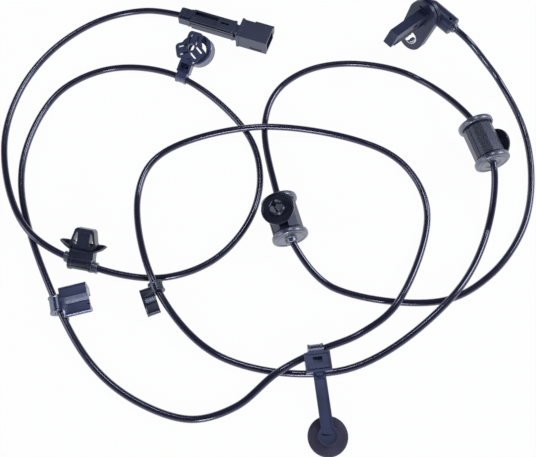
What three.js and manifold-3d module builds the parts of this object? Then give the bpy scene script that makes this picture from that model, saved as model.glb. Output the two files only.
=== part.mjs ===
// Wheel speed sensor with its lead laid out flat: sensor head, jacketed cable, two flanged grommets
// with push studs, two pipe clips, two ties, a fir-tree stud and the plug at the far end.
// Millimetres, +Z up. The origin is under the middle of the sensor head, on the surface it stands on.
import * as THREE from 'three';
import { mergeVertices } from 'three/addons/utils/BufferGeometryUtils.js';
import Module from 'manifold-3d';

const wasm = await Module();
wasm.setup();

// Clearances
const SEAT_GAP = 0.3;
const LOOSE_GAP = 0.4;

// Cable
const CABLE_DIAMETER = 5;
const CABLE_SIDES = 10;
const CABLE_LONGEST_STEP = 38;
const CABLE_REST_HEIGHT = 2.6;
const CABLE_IN_BOSS = 8;
const CABLE_IN_PLUG = 8;

// Sensor head: nose along Z, boss along X, ear along -Y
const HEAD_TURN = [79, 3.5, -46];
const FLANGE_RADIUS = 12.5;
const FLANGE_THICKNESS = 7;
const FLANGE_GROOVE_WIDTH = 1.1;
const FLANGE_GROOVE_DEPTH = 0.9;
const FLANGE_GROOVE_PLACE = 0.55;
const EAR_DISTANCE = 24.8;
const EAR_RADIUS = 11.4;
const EAR_TURN = -3.3;
const BUSH_RADIUS = 6;
const BUSH_WALL = 1;
const BUSH_PROUD = 0.4;
const NOSE_WIDTH = 7.6;
const NOSE_DEPTH = 10.2;
const NOSE_LENGTH = 37;
const NOSE_SLANT = 3.8;
const NOSE_WALL = 1.5;
const NOSE_TIP_WALL = 1.6;
const NOSE_RAIL = 0.7;
const NOSE_FIN_START = 17;
const NOSE_FIN_LENGTH = 15;
const NOSE_FIN_HEIGHT = 2.2;
const NOSE_SLOT_HEIGHT = 17;
const NOSE_SLOT_LENGTH = 4.4;
const NOSE_SLOT_WIDTH = 2.4;
const REAR_BODY_RADIUS = 8;
const REAR_BODY_SUNK = 2;
const BOSS_LENGTH = 22;
const BOSS_RADIUS = 7.2;
const BOSS_SUNK = 1.6;
const BOSS_DOME_STEPS = 6;
const BOSS_BORE_RADIUS = 4.5;
const BOSS_PIN_HOLE_RADIUS = 0.9;
const BOSS_PIN_HOLE_INSET = 4;
const BOSS_PIN_HOLE_TURN = 40;
const RELIEF_LENGTH = 10;
const RELIEF_PROUD = 3;
const RELIEF_MOUTH_RADIUS = 3.6;

// Parts inside the nose
const CHIP_THICKNESS = 1.4;
const MAGNET_THICKNESS = 3;
const CARRIER_PLAY = 0.3;
const STRIP_SIZE = 0.8;
const STRIP_SPACING = 2.2;

// Grommets
const GROMMET_FLANGE_RADIUS = 13.3;
const GROMMET_FLANGE_THICKNESS = 4.4;
const GROMMET_BARREL_RADIUS = 8.4;
const GROMMET_NECK_RADIUS = 4.6;
const GROMMET_NECK_LENGTH = 3.5;
const GROMMET_OVERHANG = 0.5;
const GROMMET_ROUNDING = 1;
const GROMMET_SIDES = 28;
const HOLDER_RADIUS = 11.4;
const HOLDER_SIDES = 10;
const HOLDER_SHORTER = 3;
const HOLDER_RIBS = 7;
const HOLDER_RIB_HEIGHT = 0.4;
const HOLDER_RIBBED_SIDE = 2;
const STUD_PLATE_RADIUS = 12.2;
const STUD_PLATE_THICKNESS = 1.8;
const STUD_PLATE_HEIGHT = 13.8;
const STUD_HEAD_RADIUS = 5.2;
const STUD_NECK_RADIUS = 3.2;
const STUD_NECK_LENGTH = 1.6;
const STUD_HEAD_LENGTH = 7;
const STUD_BARB_LENGTH = 2.5;
const STUD_SLOPE = 0.6;
const STUD_TIP_RADIUS = 2.3;
const MIDDLE_GROMMET_ROLL = 18;
const MIDDLE_STUD_SHIFT = 3;
const RIGHT_GROMMET_ROLL = 125;
const RIGHT_STUD_SHIFT = 0;

// Pipe clips: a ring on the cable and a grooved block that snaps over a pipe
const LARGE_CLIP = { ringRadius: 5.8, ringLength: 12, blockLength: 21, blockWidth: 19, blockTop: 10,
  step: 5.5, foot: 5.8, pipeRadius: 5, side: -1, shift: -1, rimRadius: 11.4, turn: -13.5 };
const SMALL_CLIP = { ringRadius: 5.4, ringLength: 7.4, blockLength: 19.5, blockWidth: 9.5, blockTop: 3.6,
  step: 3.6, foot: 8.6, pipeRadius: 4, side: 1, shift: -8, rimRadius: 8.8, turn: -8 };
const CLIP_RIM_THICKNESS = 1.2;
const CLIP_BUSH_WALL = 1.3;
const CLIP_EDGE = 2;
const CLIP_FLOOR = 1.5;
const CLIP_GROOVE_DEPTH = 1;
const CLIP_RIM_PROUD = 0.8;

// Ties
const TIE_WALL = 1.4;
const TIE_WIDTH = 8.4;
const LONG_TIE_LOOP_WIDTH = 10.6;
const LONG_TIE_LOOP_RADIUS = 5.6;
const TIE_HEAD_HEIGHT = 6.4;
const TIE_WINDOW = 4.2;
const LONG_TIE_YAW = 187;
const LONG_TIE_DIP = -3;
const LONG_TIE_HEAD_START = 1.6;
const LONG_TIE_HEAD_WIDTH = 17.6;
const LONG_TIE_HEAD_LENGTH = 13.5;
const LONG_TIE_HEAD_BOTTOM = 1.5;
const LONG_TIE_WINDOW_SHIFT = 1.6;
const LONG_TIE_BAR_RISE = 0.6;
const LONG_TIE_REACH = 56.6;
const LONG_TIE_END_RADIUS = 6.6;
const LONG_TIE_BAR_THICKNESS = 1.8;
const LONG_TIE_DISC_RADIUS = 13.5;
const LONG_TIE_DISC_HEIGHT = 4;
const STAR_TIE_YAW = -22;
const STAR_TIE_RISE = 22;
const STAR_TIE_ROLL = -10;
const STAR_HEAD_WIDTH = 10.5;
const STAR_HEAD_LENGTH = 9;
const STAR_HEAD_MIDDLE = 1;
const STAR_REACH = 24.5;
const STAR_RADIUS = 13;
const STAR_THICKNESS = 1.8;
const STAR_ARM_WIDTH = 12.5;
const STAR_SLIT_WIDTH = 1.3;
const STAR_SLIT_SPACING = 6.4;
const STAR_SLIT_START = 2.4;
const STAR_SLIT_END = 10.6;
const STAR_HOLE_RADIUS = 3;
const STAR_HUB_RADIUS = 9;
const STAR_NECK_THICKNESS = 2.9;
const STAR_NECK_OVERLAP = 3.9;
const CUP_RADIUS = 12.4;
const CUP_SHIFT = 4.5;
const CUP_WALL = 1.3;
const CUP_HEIGHT = 8;
const CUP_LIP = 3.2;

// Fir-tree stud
const FIR_YAW = 169;
const FIR_LEAN = 62;
const FIR_TIP = 25;
const FIR_SHOULDER_HALF_WIDTH = 9.9;
const FIR_TIP_HALF_WIDTH = 6.8;
const FIR_DEPTH = 8.5;
const FIR_CORE_HALF_WIDTH = 4.4;
const FIR_WING_HALF_SPAN = 16.6;
const FIR_WING_DEPTH = 6.2;
const FIR_WING_THICKNESS = 1.4;
const FIR_WING_HEIGHT = 10.4;
const FIR_SADDLE_RADIUS = 5.8;
const FIR_SADDLE_LENGTH = 18;
const FIR_BUSH_RADIUS = 4.2;
const FIR_BUSH_LENGTH = 25;
const FIR_SHOULDER_HEIGHT = 13.5;
const FIR_LEG_WIDTH = 2.2;
const FIR_TOP_WALL = 3;

// Plug
const PLUG_YAW = -19.5;
const CAP_LENGTH = 10.4;
const CAP_WIDTH = 11.6;
const CAP_HEIGHT = 10.8;
const CAP_CORNER = 2;
const SEAL_WALL = 1.7;
const SEAL_START = 3;
const BODY_LENGTH = 37;
const BODY_WIDTH = 11.2;
const BODY_HEIGHT = 10.8;
const WAIST_LENGTH = 3.4;
const WAIST_WIDTH = 8;
const WAIST_LOWER = 3;
const SHROUD_LENGTH = 26;
const SHROUD_WIDTH = 17.4;
const SHROUD_HEIGHT = 13.4;
const SHROUD_WALL = 1.6;
const SHROUD_DEPTH = 19;
const WINDOW_LENGTH = 20;
const WINDOW_WIDTH = 6.8;
const WINDOW_DEPTH = 1.8;
const WINDOW_INSET = 1.5;
const SLOT_LENGTH = 7;
const SLOT_WIDTH = 2;
const SLOT_DEPTH = 1.5;
const SLOT_INSET = 9;
const GUIDE_WIDTH = 1.2;
const GUIDE_HEIGHT = 1.4;
const LOCK_LENGTH = 16;
const LOCK_WIDTH = 3.4;
const BLADE_WIDTH = 2.8;
const BLADE_THICKNESS = 0.8;
const BLADE_REACH = 13;
const BLADE_SPACING = 5.4;
const BLADE_ROOT = 8;
const BLADE_PASSAGE = 3;
const RETAINER_LENGTH = 5;

// The lead's route, one list for each stretch between the pieces on it
const TO_MIDDLE_GROMMET = [[20, 6.4, 33.44], [36, -10.6, 31.6], [51, -22.1, 20], [65, -34.6, 8],
  [79.5, -72.6, 2.8], [80, -117.6, 2.6], [68, -158.6, 2.6], [40.5, -194.1, 2.6], [3, -213.6, 2.6],
  [-72.5, -203.1, 2.6]];
const MIDDLE_GROMMET = [[-101.5, -171.1, 13.4], [-110.7, -138, 13.4]];
const TO_RIGHT_GROMMET = [[-120.5, -67.6, 2.6], [-109.5, -36.6, 2.6], [-83.5, -17.6, 2.6], [-44, -12.6, 2.6],
  [1.5, -27.1, 2.6]];
const RIGHT_GROMMET = [[37.3, -77.5, 19.2], [48, -113, 19.2]];
const TO_SMALL_PIPE_CLIP = [[42, -160.1, 2.6], [9, -214.1, 8.6], [-65.5, -262.6, 2.6], [-150.5, -253.6, 2.6],
  [-196.4, -205.6, 9]];
const TO_LONG_TIE = [[-215, -129.1, 2.6], [-200.5, -96.1, 2.6], [-128, -75.1, 8.6], [-43.5, -85.6, 2.6],
  [-13, -107.1, 2.6], [-0.5, -145.1, 2.6], [-28.5, -217.6, 8.6], [-54.5, -237.6, 4], [-85.5, -251.1, 6]];
const TO_LARGE_PIPE_CLIP = [[-112.5, -266.6, 8.6], [-139, -287.6, 3.5], [-168.5, -296.1, 2.6],
  [-203.5, -285.6, 2.6], [-236, -261.6, 2.8], [-265.3, -217.6, 6]];
const TO_STAR_TIE = [[-302.5, -126.1, 2.6], [-301, -78.6, 2.6], [-280.5, -36.6, 2.6], [-240, -16.6, 2.6],
  [-186.5, -27.6, 5]];
const TO_FIR_TREE = [[-134.5, -76.6, 2.6], [-124, -116.1, 2.6], [-133, -153.1, 2.6], [-158.5, -183.1, 2.6],
  [-196.5, -196.1, 2.6], [-251.5, -185.8, 6]];
const TO_PLUG = [[-293.5, -159.6, 8.6], [-320, -91.6, 2.6], [-314.5, -39.1, 2.6], [-292, 1.9, 2.6],
  [-257, 30.4, 2.6], [-220, 39.4, 4], [-189.4, 32.5, 6.9], [-181.9, 29.9, 6.9]];
const ROUTE = [...TO_MIDDLE_GROMMET, ...MIDDLE_GROMMET, ...TO_RIGHT_GROMMET, ...RIGHT_GROMMET,
  ...TO_SMALL_PIPE_CLIP, ...TO_LONG_TIE, ...TO_LARGE_PIPE_CLIP, ...TO_STAR_TIE, ...TO_FIR_TREE, ...TO_PLUG]
  .map((place) => new THREE.Vector3(...place));

const CABLE_RADIUS = CABLE_DIAMETER / 2;
const degrees = THREE.MathUtils.degToRad;

// Solids
function solidOf(geometry) {
  const bare = geometry.index ? geometry.toNonIndexed() : geometry.clone();
  bare.deleteAttribute('normal');
  bare.deleteAttribute('uv');
  const merged = mergeVertices(bare, 1e-4);
  return new wasm.Manifold(new wasm.Mesh({
    numProp: 3,
    vertProperties: new Float32Array(merged.attributes.position.array),
    triVerts: new Uint32Array(merged.index.array),
  }));
}

function geometryOf(solid) {
  const mesh = solid.getMesh();
  const geometry = new THREE.BufferGeometry();
  geometry.setAttribute('position', new THREE.BufferAttribute(new Float32Array(mesh.vertProperties), 3));
  geometry.setIndex(new THREE.BufferAttribute(new Uint32Array(mesh.triVerts), 1));
  return geometry;
}

function join(first, ...others) {
  return geometryOf(others.reduce((sum, other) => sum.add(solidOf(other)), solidOf(first)));
}

function cut(body, ...tools) {
  return geometryOf(tools.reduce((left, tool) => left.subtract(solidOf(tool)), solidOf(body)));
}

function keepInside(body, limit) {
  return geometryOf(solidOf(body).intersect(solidOf(limit)));
}

// Shapes, each in the frame of the piece that it belongs to
function block(sizeX, sizeY, sizeZ, x = 0, y = 0, z = 0) {
  return new THREE.BoxGeometry(sizeX, sizeY, sizeZ).translate(x, y, z);
}

function rodAlongZ(radius, fromZ, toZ, sides = 32, endRadius = radius) {
  const rod = new THREE.CylinderGeometry(endRadius, radius, toZ - fromZ, sides);
  return rod.rotateX(Math.PI / 2).translate(0, 0, (fromZ + toZ) / 2);
}

function rodAlongX(radius, fromX, toX, sides = 32, endRadius = radius) {
  return rodAlongZ(radius, fromX, toX, sides, endRadius).rotateY(Math.PI / 2);
}

function turnedAlongZ(profile, sides) {
  const points = profile.map(([radius, height]) => new THREE.Vector2(radius, height));
  return new THREE.LatheGeometry(points, sides).rotateX(Math.PI / 2);
}

function outline(points) {
  return new THREE.Shape(points.map(([x, y]) => new THREE.Vector2(x, y)));
}

// A plate of the given outline, from z = 0 up
function plate(shape, thickness, curveSegments = 12) {
  return new THREE.ExtrudeGeometry(shape, { depth: thickness, bevelEnabled: false, curveSegments });
}

// A bar whose outline lies in the XZ plane, running along Y between two places
function barAlongY(points, fromY, toY) {
  return plate(outline(points), toY - fromY).rotateX(Math.PI / 2).translate(0, toY, 0);
}

function finish(colour, roughness, metalness = 0) {
  return new THREE.MeshStandardMaterial({ color: colour, roughness, metalness });
}

const FINISHES = {
  jacket: finish(0x16161c, 0.35),
  housingPlastic: finish(0x24263a, 0.45),
  clipPlastic: finish(0x3a3e5c, 0.4),
  rubber: finish(0x14141a, 0.7),
  hiddenPlastic: finish(0xb8b4a4, 0.6),
  retainerPlastic: finish(0x2c2f48, 0.5),
  steel: finish(0xc8ccd6, 0.3, 1),
  tinnedCopper: finish(0xc2bfb8, 0.35, 1),
  chipResin: finish(0x101012, 0.5),
  magnetSteel: finish(0x6c6f75, 0.45, 1),
};

const part = new THREE.Group();

function addPiece(parent, name, geometry, material) {
  const piece = new THREE.Mesh(geometry, material);
  piece.name = name;
  parent.add(piece);
  return piece;
}

function addGroup(place, turn = [0, 0, 0], parent = part) {
  const group = new THREE.Group();
  group.position.set(...place);
  group.rotation.set(...turn.map(degrees), 'ZYX');
  parent.add(group);
  group.updateWorldMatrix(true, true);
  return group;
}

// The cable: a smooth curve through the route, walked in steps that meet every route point
class SteppedRun extends THREE.Curve {
  constructor(curve, stations) {
    super();
    this.curve = curve;
    this.stations = stations;
  }

  getUtoTmapping(share) {
    return share;
  }

  getPoint(share, target = new THREE.Vector3()) {
    const place = Math.min(Math.max(share, 0), 1) * (this.stations.length - 1);
    const before = Math.min(Math.floor(place), this.stations.length - 2);
    const along = THREE.MathUtils.lerp(this.stations[before], this.stations[before + 1], place - before);
    this.curve.getPoint(along, target);
    target.z = Math.max(target.z, CABLE_REST_HEIGHT);
    return target;
  }
}

const smoothRoute = new THREE.CatmullRomCurve3(ROUTE);
const spans = ROUTE.length - 1;

function stationsBetween(firstPoint, lastPoint) {
  const stations = [firstPoint / spans];
  for (let i = firstPoint; i < lastPoint; i += 1) {
    const steps = Math.max(1, Math.round(ROUTE[i].distanceTo(ROUTE[i + 1]) / CABLE_LONGEST_STEP));
    for (let k = 1; k <= steps; k += 1) {
      stations.push((i + k / steps) / spans);
    }
  }
  return stations;
}

function tubeAlongRoute(radius, sides, firstPoint = 0, lastPoint = spans) {
  const stations = stationsBetween(firstPoint, lastPoint);
  const section = [];
  for (let i = 0; i < sides; i += 1) {
    const angle = (i / sides) * 2 * Math.PI;
    section.push([radius * Math.cos(angle), radius * Math.sin(angle)]);
  }
  return new THREE.ExtrudeGeometry(outline(section), {
    steps: stations.length - 1,
    extrudePath: new SteppedRun(smoothRoute, stations),
  });
}

// The room that a piece leaves for the cable or for a sleeve on it, in the piece's own frame
function cableRoom(group, index, sleeveRadius = CABLE_RADIUS) {
  const radius = (sleeveRadius + SEAT_GAP) / Math.cos(Math.PI / CABLE_SIDES);
  const first = Math.max(0, index - 2);
  const last = Math.min(spans, index + 3);
  return tubeAlongRoute(radius, CABLE_SIDES, first, last)
    .applyMatrix4(group.matrixWorld.clone().invert());
}

function headingAt(index) {
  const tangent = smoothRoute.getTangent(index / spans);
  return THREE.MathUtils.radToDeg(Math.atan2(tangent.y, tangent.x));
}

addPiece(part, 'cable', tubeAlongRoute(CABLE_RADIUS, CABLE_SIDES), FINISHES.jacket);

// Sensor head, seated so that the boss takes the first stretch of the cable
const bossAxis = -FLANGE_THICKNESS - BOSS_RADIUS + BOSS_SUNK;
const bossMouth = new THREE.Vector3(BOSS_LENGTH - CABLE_IN_BOSS, 0, bossAxis)
  .applyEuler(new THREE.Euler(...HEAD_TURN.map(degrees), 'ZYX'));
const head = addGroup(ROUTE[0].clone().sub(bossMouth).toArray(), HEAD_TURN);
const earHole = BUSH_RADIUS + SEAT_GAP;

function toEar(geometry) {
  return geometry.translate(0, -EAR_DISTANCE, 0).rotateZ(degrees(EAR_TURN));
}

function teardrop() {
  const lean = Math.asin((FLANGE_RADIUS - EAR_RADIUS) / EAR_DISTANCE);
  const shape = new THREE.Shape();
  shape.absarc(0, 0, FLANGE_RADIUS, lean, Math.PI - lean, false);
  shape.absarc(0, -EAR_DISTANCE, EAR_RADIUS, Math.PI - lean, 2 * Math.PI + lean, false);
  return shape;
}

function noseProfile(inset) {
  const half = NOSE_DEPTH / 2 - inset;
  const tip = NOSE_LENGTH - (inset ? NOSE_TIP_WALL : 0);
  return [[half, bossAxis], [half, tip], [-half, tip + NOSE_SLANT], [-half, bossAxis]];
}

// A bar along X whose outline is given as places in Y and Z
function barAlongX(points, halfWidth) {
  return plate(outline(points), 2 * halfWidth)
    .rotateZ(Math.PI / 2)
    .rotateY(Math.PI / 2)
    .translate(-halfWidth, 0, 0);
}

function sensorHousing() {
  const flange = plate(teardrop(), FLANGE_THICKNESS, 20)
    .rotateZ(degrees(EAR_TURN))
    .translate(0, 0, -FLANGE_THICKNESS);
  const rearBody = rodAlongZ(REAR_BODY_RADIUS, bossAxis + REAR_BODY_SUNK, -FLANGE_THICKNESS / 2, 36);
  const bossProfile = [];
  for (let i = 0; i <= BOSS_DOME_STEPS; i += 1) {
    const angle = (i / BOSS_DOME_STEPS) * Math.PI / 2;
    bossProfile.push([BOSS_RADIUS * Math.sin(angle), -BOSS_RADIUS * Math.cos(angle)]);
  }
  bossProfile.push([BOSS_RADIUS, BOSS_LENGTH], [0, BOSS_LENGTH]);
  const boss = turnedAlongZ(bossProfile, 32).rotateY(Math.PI / 2).translate(0, 0, bossAxis);
  const nose = barAlongX(noseProfile(0), NOSE_WIDTH / 2);
  const railY = -NOSE_DEPTH / 2 + NOSE_RAIL / 2;
  const rail = block(NOSE_WIDTH + 2 * NOSE_RAIL, NOSE_RAIL, NOSE_LENGTH, 0, railY, NOSE_LENGTH / 2);
  const fin = block(NOSE_FIN_HEIGHT, NOSE_RAIL * 2, NOSE_FIN_LENGTH,
    -(NOSE_WIDTH + NOSE_FIN_HEIGHT) / 2 + NOSE_RAIL / 2, -NOSE_RAIL, NOSE_FIN_START + NOSE_FIN_LENGTH / 2);
  const whole = join(flange, rearBody, boss, nose, rail, fin);
  const earBore = toEar(rodAlongZ(earHole, -FLANGE_THICKNESS - 1, 1, 32));
  const bossBore = rodAlongX(BOSS_BORE_RADIUS, -NOSE_WIDTH / 2, BOSS_LENGTH + 1, 24)
    .translate(0, 0, bossAxis);
  const channel = barAlongX(noseProfile(NOSE_WALL), NOSE_WIDTH / 2 - NOSE_WALL);
  const grooveMiddle = -FLANGE_THICKNESS * FLANGE_GROOVE_PLACE;
  const grooveOuter = rodAlongZ(FLANGE_RADIUS + 1, 0, FLANGE_GROOVE_WIDTH, 36);
  const grooveInner = rodAlongZ(FLANGE_RADIUS - FLANGE_GROOVE_DEPTH, -1, FLANGE_GROOVE_WIDTH + 1, 36);
  const groove = keepInside(cut(grooveOuter, grooveInner).translate(0, 0, grooveMiddle),
    block(4 * FLANGE_RADIUS, FLANGE_RADIUS * 2, FLANGE_THICKNESS, 0, FLANGE_RADIUS, grooveMiddle));
  const slot = block(NOSE_WALL, NOSE_SLOT_WIDTH, NOSE_SLOT_LENGTH, NOSE_WIDTH / 2, 0, NOSE_SLOT_HEIGHT);
  const pinHole = rodAlongZ(BOSS_PIN_HOLE_RADIUS, 0, BOSS_RADIUS + 1, 12)
    .rotateX(-degrees(BOSS_PIN_HOLE_TURN))
    .translate(BOSS_LENGTH - BOSS_PIN_HOLE_INSET, 0, bossAxis);
  return cut(whole, earBore, bossBore, channel, groove, slot, pinHole);
}

addPiece(head, 'sensor_housing', sensorHousing(), FINISHES.housingPlastic);

const bush = cut(rodAlongZ(BUSH_RADIUS, -FLANGE_THICKNESS - BUSH_PROUD, BUSH_PROUD, 32),
  rodAlongZ(BUSH_RADIUS - BUSH_WALL, -FLANGE_THICKNESS - 2, 2, 32));
addPiece(head, 'mounting_bush', toEar(bush), FINISHES.steel);

function strainRelief() {
  const start = BOSS_LENGTH + RELIEF_PROUD - RELIEF_LENGTH;
  const seated = rodAlongX(BOSS_BORE_RADIUS - SEAT_GAP, start, BOSS_LENGTH, 24);
  const mouth = rodAlongX(BOSS_BORE_RADIUS - SEAT_GAP, BOSS_LENGTH, BOSS_LENGTH + RELIEF_PROUD, 24,
    RELIEF_MOUTH_RADIUS);
  return cut(join(seated, mouth).translate(0, 0, bossAxis), cableRoom(head, 0));
}

addPiece(head, 'strain_relief', strainRelief(), FINISHES.rubber);

// Inside the nose: chip at the tip, magnet behind it, both on a carrier with two strips beside it
const innerHalfWidth = NOSE_WIDTH / 2 - NOSE_WALL - CARRIER_PLAY;
const innerHalfDepth = NOSE_DEPTH / 2 - NOSE_WALL - CARRIER_PLAY;
const chipTop = NOSE_LENGTH - NOSE_TIP_WALL - CARRIER_PLAY;
const magnetTop = chipTop - CHIP_THICKNESS - SEAT_GAP;
const carrierTop = magnetTop - MAGNET_THICKNESS - SEAT_GAP;
const carrierBottom = bossAxis + BOSS_BORE_RADIUS;
const stripRoom = STRIP_SIZE + 2 * SEAT_GAP;

function stackedBlock(thickness, top) {
  return block(2 * innerHalfWidth, 2 * innerHalfDepth, thickness, 0, 0, top - thickness / 2);
}

addPiece(head, 'sensing_element', stackedBlock(CHIP_THICKNESS, chipTop), FINISHES.chipResin);
addPiece(head, 'bias_magnet', stackedBlock(MAGNET_THICKNESS, magnetTop), FINISHES.magnetSteel);
const carrierDepth = 2 * innerHalfDepth - stripRoom;
addPiece(head, 'element_carrier', block(2 * innerHalfWidth, carrierDepth, carrierTop - carrierBottom,
  0, stripRoom / 2, (carrierTop + carrierBottom) / 2), FINISHES.hiddenPlastic);

const stripY = -innerHalfDepth + STRIP_SIZE / 2;
const stripEnd = BOSS_LENGTH - CABLE_IN_BOSS - SEAT_GAP;

function leadStrip(side) {
  const x = side * STRIP_SPACING / 2;
  const level = bossAxis + side * STRIP_SPACING / 2;
  const upright = block(STRIP_SIZE, STRIP_SIZE, carrierTop - level, x, stripY, (carrierTop + level) / 2);
  const foot = block(stripEnd - x, STRIP_SIZE, STRIP_SIZE, (stripEnd + x) / 2, stripY, level);
  const toCable = block(STRIP_SIZE, -stripY, STRIP_SIZE, stripEnd - STRIP_SIZE / 2, stripY / 2, level);
  return join(upright, foot, toCable);
}

addPiece(head, 'lead_terminal_left', leadStrip(-1), FINISHES.tinnedCopper);
addPiece(head, 'lead_terminal_right', leadStrip(1), FINISHES.tinnedCopper);

// Grommets: a flanged rubber sleeve on the cable, and a plastic holder with a push stud round its barrel
function addGrommet(name, index, roll, studShift) {
  const start = ROUTE[index];
  const end = ROUTE[index + 1];
  const halfLength = start.distanceTo(end) / 2 - GROMMET_OVERHANG;
  const middle = start.clone().lerp(end, 0.5);
  const heading = THREE.MathUtils.radToDeg(Math.atan2(end.y - start.y, end.x - start.x));
  const group = addGroup(middle.toArray(), [-roll, 0, heading]);
  const inner = halfLength - GROMMET_FLANGE_THICKNESS;
  const neckEnd = -halfLength - GROMMET_NECK_LENGTH;
  const rimRadius = GROMMET_FLANGE_RADIUS - GROMMET_ROUNDING;
  const sleeve = turnedAlongZ([
    [0, neckEnd], [GROMMET_NECK_RADIUS - GROMMET_ROUNDING, neckEnd], [GROMMET_NECK_RADIUS, -halfLength],
    [rimRadius, -halfLength], [GROMMET_FLANGE_RADIUS, -halfLength + GROMMET_ROUNDING],
    [GROMMET_FLANGE_RADIUS, -inner - GROMMET_ROUNDING], [rimRadius, -inner],
    [GROMMET_BARREL_RADIUS, -inner], [GROMMET_BARREL_RADIUS, inner],
    [rimRadius, inner], [GROMMET_FLANGE_RADIUS, inner + GROMMET_ROUNDING],
    [GROMMET_FLANGE_RADIUS, halfLength - GROMMET_ROUNDING], [rimRadius, halfLength],
    [0, halfLength],
  ], GROMMET_SIDES).rotateY(Math.PI / 2);
  addPiece(group, `${name}_sleeve`, cut(sleeve, cableRoom(group, index)), FINISHES.rubber);
  const holderHalf = inner - HOLDER_SHORTER / 2;
  const shell = rodAlongX(HOLDER_RADIUS, -holderHalf, holderHalf, HOLDER_SIDES);
  const flat = HOLDER_RADIUS * Math.cos(Math.PI / HOLDER_SIDES);
  const halfSide = HOLDER_RADIUS * Math.sin(Math.PI / HOLDER_SIDES);
  const ribStep = 2 * halfSide / (HOLDER_RIBS + 1);
  const ribs = [];
  for (let i = 1; i <= HOLDER_RIBS; i += 1) {
    ribs.push(block(2 * holderHalf, ribStep / 2, 2 * HOLDER_RIB_HEIGHT, 0, i * ribStep - halfSide, flat)
      .rotateX(-HOLDER_RIBBED_SIDE * 2 * Math.PI / HOLDER_SIDES));
  }
  const plateTop = STUD_PLATE_HEIGHT + STUD_PLATE_THICKNESS;
  const neckTop = plateTop + STUD_NECK_LENGTH;
  const stud = turnedAlongZ([
    [0, GROMMET_BARREL_RADIUS + SEAT_GAP], [STUD_HEAD_RADIUS, GROMMET_BARREL_RADIUS + SEAT_GAP],
    [STUD_HEAD_RADIUS, STUD_PLATE_HEIGHT - STUD_SLOPE], [STUD_PLATE_RADIUS, STUD_PLATE_HEIGHT],
    [STUD_PLATE_RADIUS, plateTop], [STUD_NECK_RADIUS, plateTop], [STUD_NECK_RADIUS, neckTop],
    [STUD_HEAD_RADIUS, neckTop + STUD_SLOPE], [STUD_HEAD_RADIUS, neckTop + STUD_BARB_LENGTH],
    [STUD_TIP_RADIUS, neckTop + STUD_HEAD_LENGTH], [0, neckTop + STUD_HEAD_LENGTH],
  ], 24).translate(studShift, 0, 0);
  const hollow = rodAlongX(GROMMET_BARREL_RADIUS + SEAT_GAP, -holderHalf - 1, holderHalf + 1,
    GROMMET_SIDES);
  addPiece(group, `${name}_holder`, cut(join(shell, stud, ...ribs), hollow), FINISHES.clipPlastic);
}

const middleGrommetIndex = TO_MIDDLE_GROMMET.length;
const rightGrommetIndex = middleGrommetIndex + MIDDLE_GROMMET.length + TO_RIGHT_GROMMET.length;
addGrommet('middle_grommet', middleGrommetIndex, MIDDLE_GROMMET_ROLL, MIDDLE_STUD_SHIFT);
addGrommet('right_grommet', rightGrommetIndex, RIGHT_GROMMET_ROLL, RIGHT_STUD_SHIFT);

// Pipe clips: the ring runs along X with the cable, the block reaches out sideways over its pipe channel
function addPipeClip(name, index, clip, sleeveRadius) {
  const group = addGroup(ROUTE[index].toArray(), [0, 0, headingAt(index) + clip.turn]);
  const near = clip.shift - clip.blockLength / 2;
  const far = clip.shift + clip.blockLength / 2;
  const step = clip.shift + CLIP_EDGE / 2;
  const low = clip.blockTop - clip.step;
  const profile = [[near, -clip.foot], [far, -clip.foot], [far, clip.blockTop - CLIP_EDGE],
    [far - CLIP_EDGE, clip.blockTop], [step, clip.blockTop],
    [step - CLIP_GROOVE_DEPTH, low - CLIP_GROOVE_DEPTH], [step - CLIP_GROOVE_DEPTH - CLIP_EDGE, low],
    [near + CLIP_EDGE, low], [near, low - CLIP_EDGE]];
  const start = sleeveRadius;
  const end = start + clip.blockWidth;
  const body = barAlongY(profile, Math.min(clip.side * start, clip.side * end),
    Math.max(clip.side * start, clip.side * end));
  const ring = rodAlongX(clip.ringRadius, -clip.ringLength / 2, clip.ringLength / 2, 24);
  const aboveFoot = block(4 * clip.rimRadius, 4 * clip.rimRadius, 4 * clip.rimRadius,
    clip.shift, 0, 2 * clip.rimRadius - clip.foot);
  const rimAt = clip.side * (clip.side < 0 ? start + CLIP_RIM_THICKNESS : end - CLIP_RIM_THICKNESS / 2);
  const rim = keepInside(rodAlongZ(clip.rimRadius, -CLIP_RIM_THICKNESS / 2, CLIP_RIM_THICKNESS / 2, 32)
    .rotateX(Math.PI / 2)
    .translate(clip.shift, rimAt, clip.blockTop - clip.rimRadius + CLIP_RIM_PROUD), aboveFoot);
  const channel = rodAlongZ(clip.pipeRadius, start + CLIP_FLOOR, end + CLIP_EDGE, 28)
    .rotateX(clip.side * -Math.PI / 2)
    .translate(clip.shift, 0, clip.pipeRadius / 2 - clip.foot);
  const room = cableRoom(group, index, sleeveRadius);
  const piece = cut(join(body, ring, rim), channel, room);
  addPiece(group, name, piece, FINISHES.clipPlastic);
  return group;
}

const smallClipIndex = rightGrommetIndex + RIGHT_GROMMET.length + TO_SMALL_PIPE_CLIP.length - 1;
addPipeClip('small_pipe_clip', smallClipIndex, SMALL_CLIP, CABLE_RADIUS);

const longTieIndex = smallClipIndex + TO_LONG_TIE.length;
const largeClipIndex = longTieIndex + TO_LARGE_PIPE_CLIP.length;
const clipBushRadius = CABLE_RADIUS + CLIP_BUSH_WALL;
const largeClip = addPipeClip('large_pipe_clip', largeClipIndex, LARGE_CLIP, clipBushRadius);

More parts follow.
